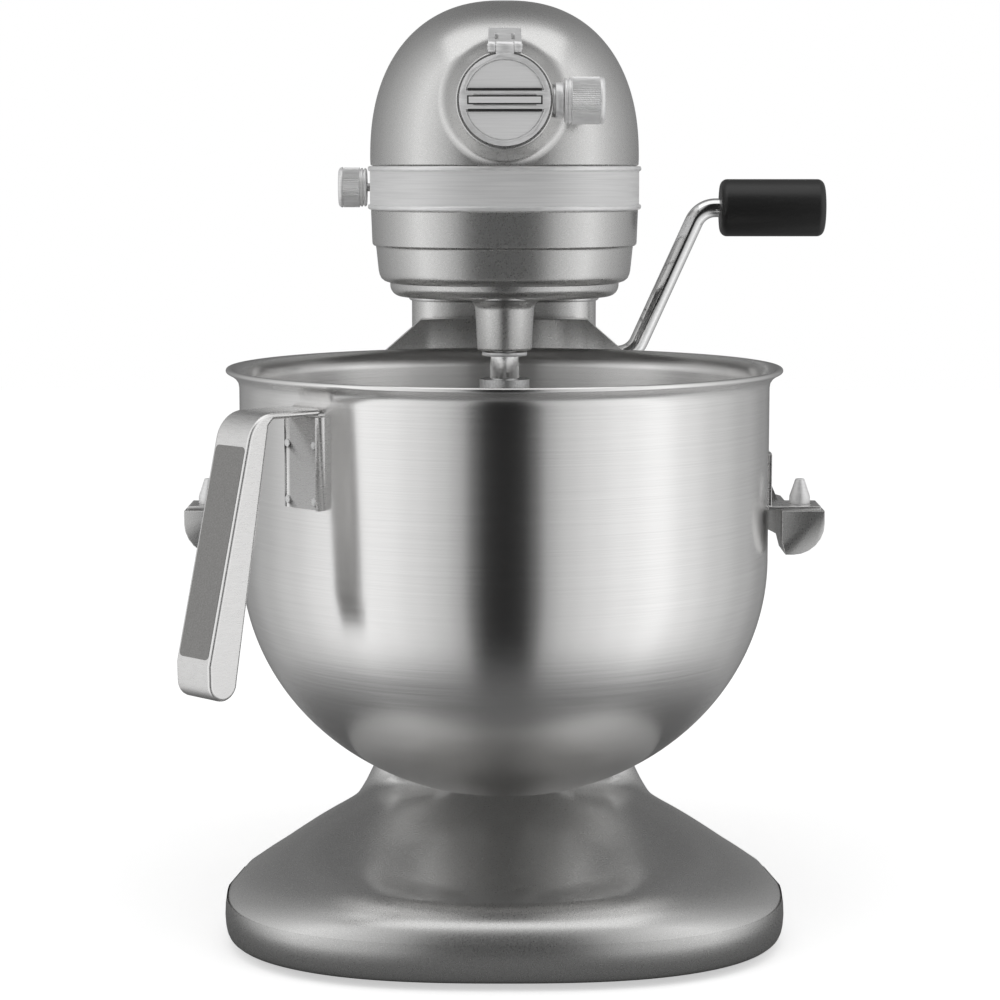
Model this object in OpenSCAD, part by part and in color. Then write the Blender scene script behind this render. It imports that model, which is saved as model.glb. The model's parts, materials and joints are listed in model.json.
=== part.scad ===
// Bowl-lift stand mixer. Millimetres, +X right, +Y back, +Z up.
// The origin is on the resting plane, on the axis of the bowl and of the planetary drive.

/* [Bowl] */
// Outer radius of the straight wall
bowl_r = 119.5; // [100:0.5:145]
// Thickness of the bowl's steel
bowl_wall = 1.2; // [0.8:0.1:2.5]
// Width of the rolled rim outside the straight wall
rim_out = 6; // [4:0.5:9]
// Height of the rim above the resting plane, bowl raised
rim_z = 254.4; // [230:0.1:262]
// Height of the bowl from foot to rim
bowl_h = 189.4; // [160:0.1:200]
// Height of the straight wall under the rim
bowl_straight = 87.4; // [70:0.1:110]
// Width of the handle at its bracket
handle_w = 22; // [14:0.5:26]
// Distance of the handle's outer face from the bowl's wall at the top
handle_out = 40; // [32:0.5:55]

/* [Head] */
// Half of the head's width
head_hw = 60; // [52:0.1:76]
// Reach of the nose in front of the bowl's axis
nose_reach = 80; // [72:0.5:100]
// Height of the whole mixer
mixer_h = 417; // [400:1:500]
// Thickness of the cast walls
wall = 3.6; // [2.5:0.1:5]
// Height of the trim band
band_h = 19; // [14:0.5:26]
// Height of the lower housing
lower_h = 32; // [28:0.5:42]

/* [Base] */
// Half of the base's width
base_hw = 126; // [105:0.5:150]
// Reach of the base in front of the bowl's axis
base_reach = 122.4; // [100:0.2:145]
// Height of the base's side wall
base_h = 34; // [26:0.5:46]
// Height of the rubber feet under the casting
foot_h = 3; // [2:0.5:8]

/* [Column] */
// Half of the column's width
col_hw = 47.3; // [42:0.1:60]
// Depth of the column, front to back
col_depth = 92; // [84:1:120]

/* [Yoke and lever] */
// Travel of the bowl yoke
lift_travel = 30; // [20:1:32]
// Thickness of the yoke's arms
arm_t = 10; // [7:0.5:14]
// Radius of the lift lever's rod
rod_r = 4.75; // [3.5:0.05:6.5]
// Radius of the lever's grip
grip_r = 14.5; // [11:0.5:18]
// Length of the lever's grip
grip_len = 53; // [40:1:75]

/* [Drive] */
// Radius of the beater shaft
shaft_r = 6.35; // [5:0.05:7]
// Radius of the attachment hub's bore
hub_bore_r = 11.5; // [9:0.1:13]
// Radius of the hub and its cover
hub_r = 18.85; // [16:0.05:21]

/* [Hidden] */

$fn = 48;
eps = 0.01;
run_gap = 0.05;
part_gap = 0.3;

paint = [0.62, 0.62, 0.62];
steel = [0.78, 0.78, 0.78];
bright = [0.86, 0.86, 0.86];
dark = [0.12, 0.12, 0.12];
iron = [0.45, 0.45, 0.47];

// Levels of the head
head_top = mixer_h;
dome_h = 70;
dome_z = head_top - dome_h;
band_hi = dome_z - 3;
band_lo = band_hi - band_h;
head_lo = band_lo - lower_h;
seat_in = 1.8;
cavity_in = 6.6;

// Column, behind the bowl and the yoke
rim_gap = 2.2;
rim_r = bowl_r + rim_out;
arm_in_r = rim_r + rim_gap;
slide_t = 12.4;
slide_y = rim_r + 2.5;
col_front = slide_y + slide_t + 0.8;
col_back = col_front + col_depth;
col_yc = (col_front + col_back) / 2;
neck_top = head_lo - 11;
flange_h = 6;
tail_y = col_back + 13;
head_yc = 10;

// Base, with a waist towards the column
base_yc = -20;
base_back = col_back + 8;
pad_z = 62;
bolt_seat = pad_z - wall - 1.4;
foot_r = 9;

// Bowl
floor_z = rim_z - bowl_h;
knuckle_z = rim_z - bowl_straight;
foot_ring_r = 40;
pin_z = 190;
pin_x = bowl_r + 14.8;
plate_t = 1.6;
seat_gap = 0.05;
handle_turn = 225;
bracket_z = rim_z - 36;
bracket_t = 1.6;
strap_t = 3;
lift_off = 12;

// Drive
gear_m = 1.5;
ring_m = 1.6;
ring_teeth = 60;
planet_teeth = 20;
orbit = (ring_teeth - planet_teeth) * ring_m / 2;
ring_root = ring_teeth * ring_m / 2 + 1.15 * ring_m;
ring_out = ring_root + 3.2;
centre_teeth = 51;
pinion_teeth = 17;
wheel_teeth = 20;
inter_x = -24;
inter_y = 45;
ring_z = head_lo + 4;
ring_t = 8;
frame_z = ring_z + ring_t + 3;
frame_t = 3;
spur_z = frame_z + frame_t + 2;
spur_t = 7;
centre_r = 7;
beater_pin_r = 2;
inter_r = 5;
motor_z = head_lo + 59;
worm_len = 24;
worm_r = 8;
worm_throw = 1;
worm_pitch = PI * gear_m;
motor_r = 40;
motor_y0 = 78;
motor_y1 = 168;
motor_shaft_r = 4;
hub_z = head_lo + 78;
hub_y = -nose_reach - 17;
bevel_r = 14;
bevel_face = 5;
screw_y = hub_y + 9.5;
screw_r = 3;
boss_z = head_lo - 29.4;
disc_r = 51.4;
disc_z = head_lo - 7;

// Lever
lever_y = col_front + 24;
lever_z = 248;
crank_len = lift_travel / 2 / sin(47.5);
crank_pin_r = 4;
lever_x0 = col_hw + 18.7;
lever_x1 = lever_x0 + 34;
lever_top = lever_z + 75;

// ---- Outlines and skins ----

function spow(v, p) = sign(v) * pow(abs(v), p);

// Closed oval, half width a, reaching bf forward and bb back of yc, with its own fullness at each end
function oval(a, bf, bb, nf, nb, yc, count = 48) = [for (i = [0 : count - 1])
    let (t = 360 * (i + 0.5) / count, n = sin(t) < 0 ? nf : nb)
    [a * spow(cos(t), 2 / n), yc + (sin(t) < 0 ? bf : bb) * spow(sin(t), 2 / n)]];

function head_plan(d, sx = 1, sy = 1) =
    oval((head_hw + d) * sx, (nose_reach + head_yc + d) * sy, (tail_y - head_yc + d) * sy, 3, 2.9, head_yc);

function at_z(outline, z) = [for (p = outline) [p[0], p[1], z]];

function round_off(v, n) = pow(max(0, 1 - pow(v, n)), 1 / n);

// Rings of the dome from its spring line upwards, d outside the outer surface
function dome_rings(d, steps) = [for (i = [0 : steps - 1])
    let (v = sin(88 * i / (steps - 1)))
    at_z(head_plan(d, round_off(v, 2.3), round_off(v, 2.8)), dome_z + (dome_h + d) * v)];

function backwards(list) = [for (i = [len(list) - 1 : -1 : 0]) list[i]];

// Solid through a stack of rings, closed by a fan at each end or joined back to its start
module skin(rings, loop = false) {
    n = len(rings[0]);
    m = len(rings);
    mid = function (r) ([for (p = r) 1] * r) / n;
    points = concat([for (r = rings) each r], loop ? [] : [mid(rings[0]), mid(rings[m - 1])]);
    walls = [for (j = [0 : loop ? m - 1 : m - 2], i = [0 : n - 1])
        let (a = j * n + i, b = j * n + (i + 1) % n, k = ((j + 1) % m) * n)
        each [[a, k + i, k + (i + 1) % n], [a, k + (i + 1) % n, b]]];
    ends = loop ? [] : [for (i = [0 : n - 1]) let (e = (m - 1) * n)
        each [[m * n, i, (i + 1) % n], [m * n + 1, e + (i + 1) % n, e + i]]];
    polyhedron(points, concat(walls, ends));
}

// Cylinder along Y from y0 to y1
module rod_y(r, y0, y1, x = 0, z = 0, r2 = undef) {
    translate([x, y0, z]) rotate([-90, 0, 0]) cylinder(r1 = r, r2 = is_undef(r2) ? r : r2, h = y1 - y0);
}

// Cylinder along X from x0 to x1
module rod_x(r, x0, x1, y = 0, z = 0) {
    translate([x0, y, z]) rotate([0, 90, 0]) cylinder(r = r, h = x1 - x0);
}

module tube(r_out, r_in, h) {
    difference() {
        cylinder(r = r_out, h = h);
        translate([0, 0, -1]) cylinder(r = r_in, h = h + 2);
    }
}

// Straight-flanked spur gear with thin teeth, pitch radius m * teeth / 2
module spur(m, teeth, h, bore, phase = 0) {
    pitch = m * teeth / 2;
    tip = pitch + 0.85 * m;
    root = pitch - 1.15 * m;
    w = 360 / teeth;
    outline = [for (i = [0 : teeth - 1], c = [[root, -0.3], [tip, -0.1], [tip, 0.1], [root, 0.3]])
        let (t = phase + w * (i + c[1])) c[0] * [cos(t), sin(t)]];
    linear_extrude(h) difference() {
        polygon(outline);
        circle(r = bore);
    }
}

// ---- Base and column ----

function smooth(v) = let (u = min(1, max(0, v))) u * u * (3 - 2 * u);

// Plan of the base, d outside its widest outline
function base_plan(d) = let (o = oval(base_hw + d, base_reach + base_yc + d, base_back - base_yc + d,
        2.6, 4.2, base_yc, 56))
    [for (p = o) [p[0] * (1 - 0.38 * smooth((p[1] - base_yc) / 0.62 / (base_back - base_yc))), p[1]]];

col_plan_z = function (z, d) let (f = exp((pad_z - z) / 18))
    oval(col_hw + 6 * f + d, col_depth / 2 + 10 * f + d, col_depth / 2 + 5 * f + d, 4.5, 3.2, col_yc);

// Height of the base's top: level rim, dish under the bowl and a rise into the column
function base_top(x, y) = let (
        dish = 1 - smooth(norm([x / 0.62 / base_hw, (y + 2) / 0.88 / base_reach])),
        near = norm([max(0, abs(x) - col_hw - 4), max(0, col_front - 9 - y, y - col_back - 2)]))
    min(pad_z, base_h - 9 * dish + (pad_z - base_h + 4) * exp(-pow(near / 13, 2)));

base_mid = [0, 60];

// Ring of the base's top at a share s of the way from its middle to its shoulder
function top_ring(s, d, drop) = [for (p = base_plan(d)) let (x = p[0] * s, y = base_mid[1] + (p[1] - base_mid[1]) * s)
    [x, y, base_top(x, y) - drop]];

module base_casting() {
    shoulder = 13;
    side = [for (c = [[-2.5, foot_h], [-0.6, foot_h + 3], [0, foot_h + 9], [-0.8, base_h - 14]]) at_z(base_plan(c[0]), c[1])];
    edge = [for (t = [25 : 22 : 91]) let (r = top_ring(1, -0.8 - shoulder * (1 - cos(t)), 0))
        [for (p = r) [p[0], p[1], base_h - 14 + (p[2] - base_h + 14) * sin(t)]]];
    crown = [for (s = [0.94, 0.86, 0.77, 0.67, 0.57, 0.46, 0.35, 0.24, 0.12]) top_ring(s, -0.8 - shoulder, 0)];
    under = [for (s = [0.15, 0.4, 0.65, 0.85]) top_ring(s, -0.8 - shoulder, wall + 1)];
    inside = [for (c = [[-2 * wall - 6, base_h - 14], [-wall - 2.5, foot_h + 2]]) at_z(base_plan(c[0]), c[1])];
    lip = [at_z(base_plan(-wall - 2.5), foot_h)];
    color(paint) difference() {
        skin(concat(under, inside, lip, side, edge, crown));
        column_bolt_places() {
            translate([0, 0, pad_z - 12]) cylinder(r = 3.3, h = 20);
            translate([0, 0, bolt_seat - 30]) cylinder(r = 6.5, h = 30);
        }
    }
}

module base_cover() {
    color(dark) translate([0, 0, foot_h]) linear_extrude(1.5) polygon(base_plan(-wall - 3));
}

module rubber_feet() {
    x = base_hw - 30;
    back = [base_hw / 2 - 14, base_back - 30];
    color(dark) for (p = [[0, 0], [x, -40], [-x, -40], back, [-back[0], back[1]]])
        translate([p[0], p[1], 0]) cylinder(r1 = foot_r - 0.7, r2 = foot_r, h = foot_h);
}

module column_bolt_places() {
    for (x = [-30, 30], y = [-28, 28]) translate([x, col_yc + y, 0]) children();
}

module column_bolts() {
    color(steel) column_bolt_places() {
        translate([0, 0, bolt_seat - 4]) cylinder(r = 5.5, h = 4);
        translate([0, 0, bolt_seat - 0.6]) cylinder(r = 2.9, h = pad_z + 9 - bolt_seat + 0.6);
    }
}

rail_hw = 14;
rail_out = 5;
rail_lo = 150;
slot_hw = 4.2;

module column_casting() {
    heights = [for (h = [0, 6, 13, 22, 34, 50, 80]) pad_z + h];
    shaft_rings = [for (z = concat(heights, [neck_top - flange_h])) at_z(col_plan_z(z, 0), z)];
    flange = [for (z = [neck_top - flange_h + 0.6, neck_top]) at_z(col_plan_z(z, 1.6), z)];
    color(paint) difference() {
        union() {
            skin(concat(shaft_rings, flange));
            translate([-rail_hw, col_front - rail_out, rail_lo])
                cube([2 * rail_hw, rail_out + 8, neck_top - flange_h - rail_lo - 6]);
        }
        translate([8 - col_hw, col_front + 8, pad_z + 12])
            cube([2 * col_hw - 16, col_depth - 18, neck_top - pad_z]);
        translate([-slot_hw, col_front - 20, crank_z(1) - 14])
            cube([2 * slot_hw, 40, lift_travel + 23.5]);
        column_bolt_places() translate([0, 0, pad_z - 1]) cylinder(r = 3, h = 10);
        rod_x(8, col_hw - 20, col_hw + 20, lever_y, lever_z);
        neck_screw_places() translate([0, 0, neck_top - 12]) cylinder(r = 2.1, h = 20);
    }
}

module neck_screw_places() {
    for (x = [-1, 1], y = [-1, 1]) translate([x * (col_hw - 3.2), col_yc + y * 18, 0]) children();
}

module neck_screws() {
    color(steel) neck_screw_places() {
        translate([0, 0, neck_top - 10]) cylinder(r = 2, h = head_lo + 5 - neck_top + 10);
        translate([0, 0, head_lo + 4]) cylinder(r = 3.6, h = 2.5);
    }
}

// ---- Head ----

module lower_housing() {
    stations = [[-6.7, 0], [-4.6, 0.9], [-3.7, 3], [-2.4, lower_h * 0.5 - 1], [-2.1, lower_h * 0.5],
        [-0.8, lower_h * 0.5 + 0.8], [-0.2, lower_h]];
    color(paint) difference() {
        union() {
            skin([for (s = stations) at_z(head_plan(s[0]), head_lo + s[1])]);
            translate([0, 0, neck_top]) linear_extrude(head_lo - neck_top + 3)
                polygon(col_plan_z(neck_top + 200, 1.6));
        }
        translate([0, 0, head_lo + 4]) linear_extrude(lower_h) polygon(head_plan(-cavity_in - 1));
        translate([0, 0, head_lo - 1]) cylinder(r = disc_r - 1, h = 6);
        translate([0, 0, ring_z]) cylinder(r = ring_out, h = lower_h);
        neck_screw_places() translate([0, 0, head_lo + 4]) cylinder(r = 4.2, h = 8);
        translate([-20, col_yc - 14, neck_top - 1]) cube([40, 28, 30]);
        neck_screw_places() translate([0, 0, neck_top - 1]) cylinder(r = 2.1, h = 30);
        gland_place(6.1);
    }
}

module speed_slot() {
    translate([-head_hw - 6, 10 - 3, band_lo + band_h / 2 - 2.4]) cube([20, speed_travel + 6, 4.8]);
}

speed_travel = 45;
split_y = tail_y - 38;

module head_shell() {
    seat = [for (z = [band_lo, band_hi]) at_z(head_plan(-seat_in), z)];
    inner = backwards(dome_rings(-cavity_in, 9));
    skin(concat(inner, [at_z(head_plan(-cavity_in), band_lo)], seat, [at_z(head_plan(0), band_hi)], dome_rings(0, 11)));
}

module upper_housing() {
    color(paint) difference() {
        union() {
            head_shell();
            rod_y(hub_r + 1.6, hub_y + 4, hub_y + 50, 0, hub_z);
            rod_y(hub_r + 1.6, hub_y + 18, hub_y + 27, 0, hub_z, hub_r + 8);
        }
        rod_y(hub_r + eps, hub_y - 5, hub_y + 60, 0, hub_z);
        rod_x(5.6, hub_r - 2, hub_r + 5, screw_y, hub_z);
        speed_slot();
        translate([-100, split_y, band_hi]) cube([200, 100, 100]);
    }
}

module trim_band() {
    bead = 1.1;
    profile = [[0, 0], [bead, 0.4], [bead, 1.9], [0.2, 2.3], [0.2, band_h - 2.3], [bead, band_h - 1.9],
        [bead, band_h - 0.4], [0, band_h]];
    back = [[-seat_in + 0.1, band_h], [-seat_in + 0.1, 0]];
    rings = [for (p = concat(profile, back)) at_z(head_plan(p[0]), band_lo + p[1])];
    color(bright) difference() {
        skin(rings, loop = true);
        speed_slot();
    }
}

module rear_cover() {
    vent_w = 3;
    color(paint) difference() {
        intersection() {
            skin(concat(backwards(dome_rings(-cavity_in, 9)), [at_z(head_plan(-cavity_in), band_hi + part_gap)],
                [at_z(head_plan(0), band_hi + part_gap)], dome_rings(0, 11)));
            translate([-100, split_y + part_gap, band_hi]) cube([200, 100, 100]);
        }
        for (i = [-4 : 4]) translate([i * 8 - vent_w / 2, tail_y - 22, dome_z + 6]) cube([vent_w, 40, 26]);
        rod_y(2.1, cover_screw_y - 30, cover_screw_y + 10, 0, cover_screw_z);
        rod_y(4.3, cover_screw_y - 4, cover_screw_y + 10, 0, cover_screw_z);
    }
}

cover_screw_z = dome_z + 42;
cover_screw_y = head_yc + (tail_y - head_yc) * round_off((cover_screw_z - dome_z) / dome_h, 2.8);

module rear_cover_screw() {
    color(steel) {
        rod_y(2, cover_screw_y - 16, cover_screw_y - 3, 0, cover_screw_z);
        rod_y(3.8, cover_screw_y - 4, cover_screw_y - 1.2, 0, cover_screw_z);
    }
}

module gland_place(r) {
    rod_y(r, tail_y - 20, tail_y + 10, 0, head_lo + 14);
}

module cord_gland() {
    color(dark) difference() {
        union() {
            rod_y(6, tail_y - 14, tail_y, 0, head_lo + 14);
            rod_y(8.5, tail_y - 2.4, tail_y + 2, 0, head_lo + 14);
        }
        rod_y(3.6, tail_y - 15, tail_y + 5, 0, head_lo + 14);
    }
}

// ---- Attachment hub ----

hub_depth = 36;
hinge_y = hub_y - 1.2;
hinge_z = hub_z + hub_r + 2.8;
knuckle_r = 2.3;

module hub_barrel() {
    color(steel) difference() {
        rod_y(hub_r, hub_y, hub_y + hub_depth + 10, 0, hub_z);
        rod_y(hub_bore_r, hub_y - 1, hub_y + hub_depth, 0, hub_z);
        rod_y(centre_r + 1 + run_gap, hub_y, hub_y + hub_depth + 20, 0, hub_z);
        rod_x(screw_r + 0.3, hub_bore_r - 3, hub_r + 2, screw_y, hub_z);
    }
}

module hub_hinge_bracket() {
    ear = 3;
    strap_len = 31;
    color(bright) difference() {
        union() {
            for (s = [-1, 1]) {
                rod_x(knuckle_r, s * 5.4 - ear / 2, s * 5.4 + ear / 2, hinge_y, hinge_z);
                translate([s * 5.4 - ear / 2, hinge_y, hinge_z - 2]) cube([ear, 9, 4.2]);
            }
            translate([-6.9, hinge_y + 5, hinge_z - 0.3]) rotate([14, 0, 0]) cube([13.8, strap_len, 2.3]);
        }
        rod_x(1.2, -10, 10, hinge_y, hinge_z);
        for (s = [-1, 1]) translate([s * 3.4 - 0.8, hinge_y + 11, hinge_z - 5]) cube([1.6, 12, 20]);
    }
}

module hub_hinge_pin() {
    color(bright) rod_x(1.2, -7.3, 7.3, hinge_y, hinge_z);
}

module hub_cover() {
    bar = 7.6;
    plate = 3.3;
    color(bright) difference() {
        union() {
            rod_y(hub_r, hub_y - plate, hub_y - 0.1, 0, hub_z);
            rod_x(knuckle_r, -3.6, 3.6, hinge_y, hinge_z);
            translate([-3.6, hub_y - plate + 0.2, hub_z + hub_r - 3]) cube([7.2, plate - 0.5, hinge_z - hub_z - hub_r + 3]);
        }
        for (s = [0, 180]) translate([0, hub_y - plate - 1, hub_z]) rotate([0, s, 0]) rotate([-90, 0, 0])
            linear_extrude(2.1) intersection() {
                circle(r = hub_r - 2.2);
                translate([-30, -60 - bar / 2]) square([60, 60]);
            }
        translate([-13, hub_y - plate - 1, hub_z - 2.4]) cube([26, 1.6, 4.8]);
        rod_x(1.2 + 0.06, -10, 10, hinge_y, hinge_z);
    }
}

screw_travel = 3;
knob_x0 = hub_r + 5.85;
knob_len = 16.9;
hub_knob_r = 9.9;

module hub_screw_collar() {
    color(bright) difference() {
        rod_x(5.5, hub_r + 0.2, hub_r + 2.2, screw_y, hub_z);
        rod_x(screw_r + 0.3, hub_r - 4, hub_r + 9, screw_y, hub_z);
    }
    color(bright) difference() {
        rod_x(7.4, hub_r + 2.2, knob_x0 - part_gap, screw_y, hub_z);
        rod_x(screw_r + 0.3, hub_r - 4, hub_r + 9, screw_y, hub_z);
    }
}

module hub_screw_stem() {
    color(steel) rod_x(screw_r, hub_bore_r + 0.6, knob_x0 + 12, screw_y, hub_z);
}

// Knob along +X from the origin, with shallow grooves round its grip
module knurled_knob(r, len, grooves) {
    rotate([0, 90, 0]) difference() {
        union() {
            cylinder(r = r - 0.8, h = len);
            translate([0, 0, 1]) cylinder(r = r, h = len - 2);
        }
        for (i = [0 : grooves - 1]) rotate(360 * i / grooves) translate([r + 0.35, 0, 0.9]) cylinder(r = 0.8, h = len - 1.8, $fn = 16);
    }
}

module hub_knob() {
    color(bright) difference() {
        translate([knob_x0, screw_y, hub_z]) knurled_knob(hub_knob_r, knob_len, 30);
        rod_x(screw_r + run_gap, knob_x0 - 1, knob_x0 + 12 + run_gap, screw_y, hub_z);
    }
}

speed_z = band_lo + band_h / 2;
speed_y = 10;
speed_x = head_hw + 2.2;

module speed_knob() {
    color(bright) translate([-speed_x, speed_y, speed_z]) difference() {
        mirror([1, 0, 0]) knurled_knob(9.1, 12.7, 28);
        rod_x(1.8, -9, 1);
    }
}

module speed_lever() {
    color(steel) {
        rod_x(1.8, -speed_x - 9, -speed_x + 12, speed_y, speed_z);
        translate([-speed_x + 12, speed_y - 5, speed_z - 5]) cube([2.5, 10, 10]);
    }
}

// ---- Planetary and beater ----

module planetary_housing() {
    color(paint) difference() {
        union() {
            rotate_extrude() polygon(concat([[0, disc_z]],
                [for (t = [-90 : 15 : 0]) [disc_r - 5 + 5 * cos(t), disc_z + 5 + 5 * sin(t)]],
                [[disc_r, head_lo - 0.5], [0, head_lo - 0.5]]));
            translate([0, 0, head_lo - 1]) cylinder(r = 13, h = 5);
            translate([0, -orbit, boss_z]) cylinder(r1 = 10.6, r2 = 12.2, h = 1.6);
            translate([0, -orbit, boss_z + 1.6 - eps]) cylinder(r1 = 12.2, r2 = 12.9, h = disc_z - boss_z + 0.4);
            translate([0, -orbit, disc_z - 4]) cylinder(r1 = 12.8, r2 = 16.2, h = 4.4);
        }
        translate([0, -orbit, boss_z - 1]) cylinder(r = 9, h = 40);
        translate([0, 0, disc_z - 1]) cylinder(r = centre_r, h = 20);
    }
}

module planet_bushes() {
    color("peru") for (z = [boss_z + 0.4, head_lo - 9.5]) translate([0, -orbit, z])
        tube(9, shaft_r + run_gap, 9);
}

module beater_shaft() {
    color(steel) difference() {
        translate([0, -orbit, boss_z - 36]) cylinder(r = shaft_r, h = ring_z + ring_t + 1 - boss_z + 36);
        rod_x(beater_pin_r, -9, 9, -orbit, beater_hub_top - 10);
    }
}

module shaft_washer() {
    color(bright) translate([0, -orbit, boss_z - 2.4]) tube(9.9, shaft_r, 1.8);
}

beater_hub_top = boss_z - 12.6;

module beater_pin() {
    color(steel) rod_x(beater_pin_r, -9.5, 9.5, -orbit, beater_hub_top - 10);
}

// Inside radius of the bowl at height z, with the bowl raised
function bowl_in(z) = let (v = (knuckle_z - z) / (knuckle_z - floor_z + 2.5))
    (bowl_r - bowl_wall) * (v <= 0 ? 1 : sqrt(max(0, 1 - v * v)));

// Half width of the flat beater at height z, clear of the bowl even when it is lifted off
function beater_hw(z) = min(0.62 * (bowl_r - 1), bowl_in(z - lift_off) - orbit - 4);

beater_lo = floor_z + lift_off + 9;
beater_shoulder = beater_lo + 90;

module flat_beater() {
    up = [for (i = [0 : 10]) let (z = beater_lo + 90 * i / 10) [max(9, beater_hw(z)), z]];
    down = [for (p = backwards(up)) [-p[0], p[1]]];
    top = beater_hub_top - 28;
    frame_w = 8;
    inner_up = [for (i = [0 : 8]) let (z = beater_lo + frame_w + 1 + 80 * i / 8) [max(1, beater_hw(z - 3) - frame_w), z]];
    inner_down = [for (p = backwards(inner_up)) [-p[0], p[1]]];
    color(steel) translate([0, -orbit, 0]) difference() {
        union() {
            translate([0, 4.5, 0]) rotate([90, 0, 0]) linear_extrude(9) {
                difference() {
                    polygon(concat(up, [[12, top]], [[-12, top]], down));
                    polygon(concat(inner_up, [[5, top - 12], [-5, top - 12]], inner_down));
                }
                translate([-3.5, beater_lo + 3]) square([7, top - beater_lo - 10]);
                intersection() {
                    polygon(concat(up, [[12, top]], [[-12, top]], down));
                    for (s = [-1, 1]) translate([0, beater_lo + 30]) rotate(90 - s * 60) translate([0, -3]) square([120, 6]);
                }
            }
            translate([0, 0, top - 3]) cylinder(r1 = 8, r2 = 11, h = 6);
            translate([0, 0, top + 3 - eps]) cylinder(r = 11, h = beater_hub_top - top - 3);
        }
        translate([0, 0, boss_z - 36 - 0.3]) cylinder(r = shaft_r + run_gap, h = 60);
        translate([-9.8, -2.3, beater_hub_top - 12.3]) cube([19.6, 4.6, 20]);
    }
}

module ring_gear() {
    tip = ring_m * ring_teeth / 2 - 0.85 * ring_m;
    w = 360 / ring_teeth;
    spaces = [for (i = [0 : ring_teeth - 1], c = [[ring_root, -0.2], [ring_root, 0.2], [tip, 0.4], [tip, 0.6]])
        let (t = -90 + w * (i + c[1])) c[0] * [cos(t), sin(t)]];
    color(iron) translate([0, 0, ring_z]) linear_extrude(ring_t) difference() {
        circle(r = ring_out);
        polygon(spaces);
    }
}

module planet_pinion() {
    color(iron) translate([0, -orbit, ring_z + 0.5]) spur(ring_m, planet_teeth, ring_t - 1, shaft_r, -90);
}

// ---- Gear train ----

bevel_z = hub_z - bevel_r;

module centre_shaft() {
    color(steel) translate([0, 0, disc_z + 1]) cylinder(r = centre_r, h = bevel_z - 3 - disc_z);
}

module centre_gear() {
    color(iron) translate([0, 0, spur_z]) spur(gear_m, centre_teeth, spur_t, centre_r, atan2(inter_y, inter_x));
}

// Bevel blank on +Z with radial tooth slots, its cone's apex at bevel_r above the origin
module bevel(teeth, bore) {
    tip = bevel_r - 0.5;
    difference() {
        union() {
            cylinder(r1 = tip, r2 = tip - bevel_face, h = bevel_face);
            translate([0, 0, -5]) cylinder(r = bevel_r - 4, h = 5 + eps);
            translate([0, 0, -2]) cylinder(r = tip, h = 2 + eps);
        }
        for (i = [0 : teeth - 1]) rotate(360 * i / teeth) translate([tip + 0.4, 0, -0.2]) rotate([0, -45, 0])
            translate([-1.2, -0.7, -1]) cube([2.4, 1.4, 12]);
        translate([0, 0, -6]) cylinder(r = bore, h = 30);
    }
}

module centre_bevel() {
    color(iron) translate([0, 0, bevel_z]) difference() {
        bevel(16, centre_r - 2.5);
        translate([0, 0, -6]) cylinder(r = centre_r, h = 4);
    }
}

module hub_bevel() {
    color(iron) translate([0, -bevel_r, hub_z]) rotate([-90, 0, 0]) rotate(360 / 32) bevel(16, centre_r - 2);
}

module hub_drive_shaft() {
    front = hub_y + hub_depth + 0.5;
    color(steel) difference() {
        union() {
            rod_y(centre_r + 1, front, -bevel_r - 6, 0, hub_z);
            rod_y(centre_r - 2, -bevel_r - 6 - eps, -bevel_r + 4, 0, hub_z);
        }
        translate([-4.8, front - 1, hub_z - 4.8]) cube([9.6, 19, 9.6]);
    }
}

module gear_frame() {
    color(iron) translate([0, 0, frame_z]) linear_extrude(frame_t) difference() {
        intersection() {
            polygon(head_plan(-cavity_in - 1));
            translate([-100, -60]) square([200, 130]);
        }
        circle(r = centre_r + 3);
        translate([inter_x, inter_y]) circle(r = inter_r + 2.5);
    }
}

module drive_bushes() {
    color("peru") translate([0, 0, frame_z - 1]) tube(centre_r + 3, centre_r + run_gap, frame_t + 2);
    color("peru") translate([inter_x, inter_y, frame_z - 1]) tube(inter_r + 2.5, inter_r + run_gap, frame_t + 2);
}

module intermediate_shaft() {
    low = ring_z + ring_t + 0.8;
    color(steel) translate([inter_x, inter_y, low]) cylinder(r = inter_r, h = motor_z + 10 - low);
}

module drive_pinion() {
    color(iron) translate([inter_x, inter_y, spur_z]) spur(gear_m, pinion_teeth, spur_t, inter_r,
        atan2(-inter_y, -inter_x) + 180 / pinion_teeth);
}

module worm_wheel() {
    color("peru") translate([inter_x, inter_y, motor_z - 5]) linear_extrude(10) difference() {
        polygon([for (i = [0 : wheel_teeth - 1], c = [[13.2, -0.26], [15.8, -0.08], [15.8, 0.08], [13.2, 0.26]])
            let (t = 360 / wheel_teeth * (i + c[1])) c[0] * [cos(t), sin(t)]]);
        circle(r = inter_r);
    }
}

module motor_shaft() {
    color(steel) rod_y(motor_shaft_r, inter_y - worm_len / 2 - 4, motor_y1 + 24, 0, motor_z);
}

// Single-start thread: an off-centre round section turned along the shaft
module worm() {
    turns = worm_len / worm_pitch;
    color(steel) translate([0, inter_y, motor_z]) rotate([-90, 0, 0]) difference() {
        translate([0, 0, -worm_len / 2]) rotate(180 * turns)
            linear_extrude(worm_len, twist = 360 * turns, slices = ceil(10 * turns), $fn = 14)
            translate([worm_throw, 0]) circle(r = worm_r, $fn = 14);
        translate([0, 0, -worm_len]) cylinder(r = motor_shaft_r, h = 2 * worm_len);
    }
}

module rotor_core() {
    color(iron) difference() {
        rod_y(28, motor_y0 + 22, motor_y1 - 22, 0, motor_z);
        rod_y(motor_shaft_r, motor_y0, motor_y1, 0, motor_z);
    }
}

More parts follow.
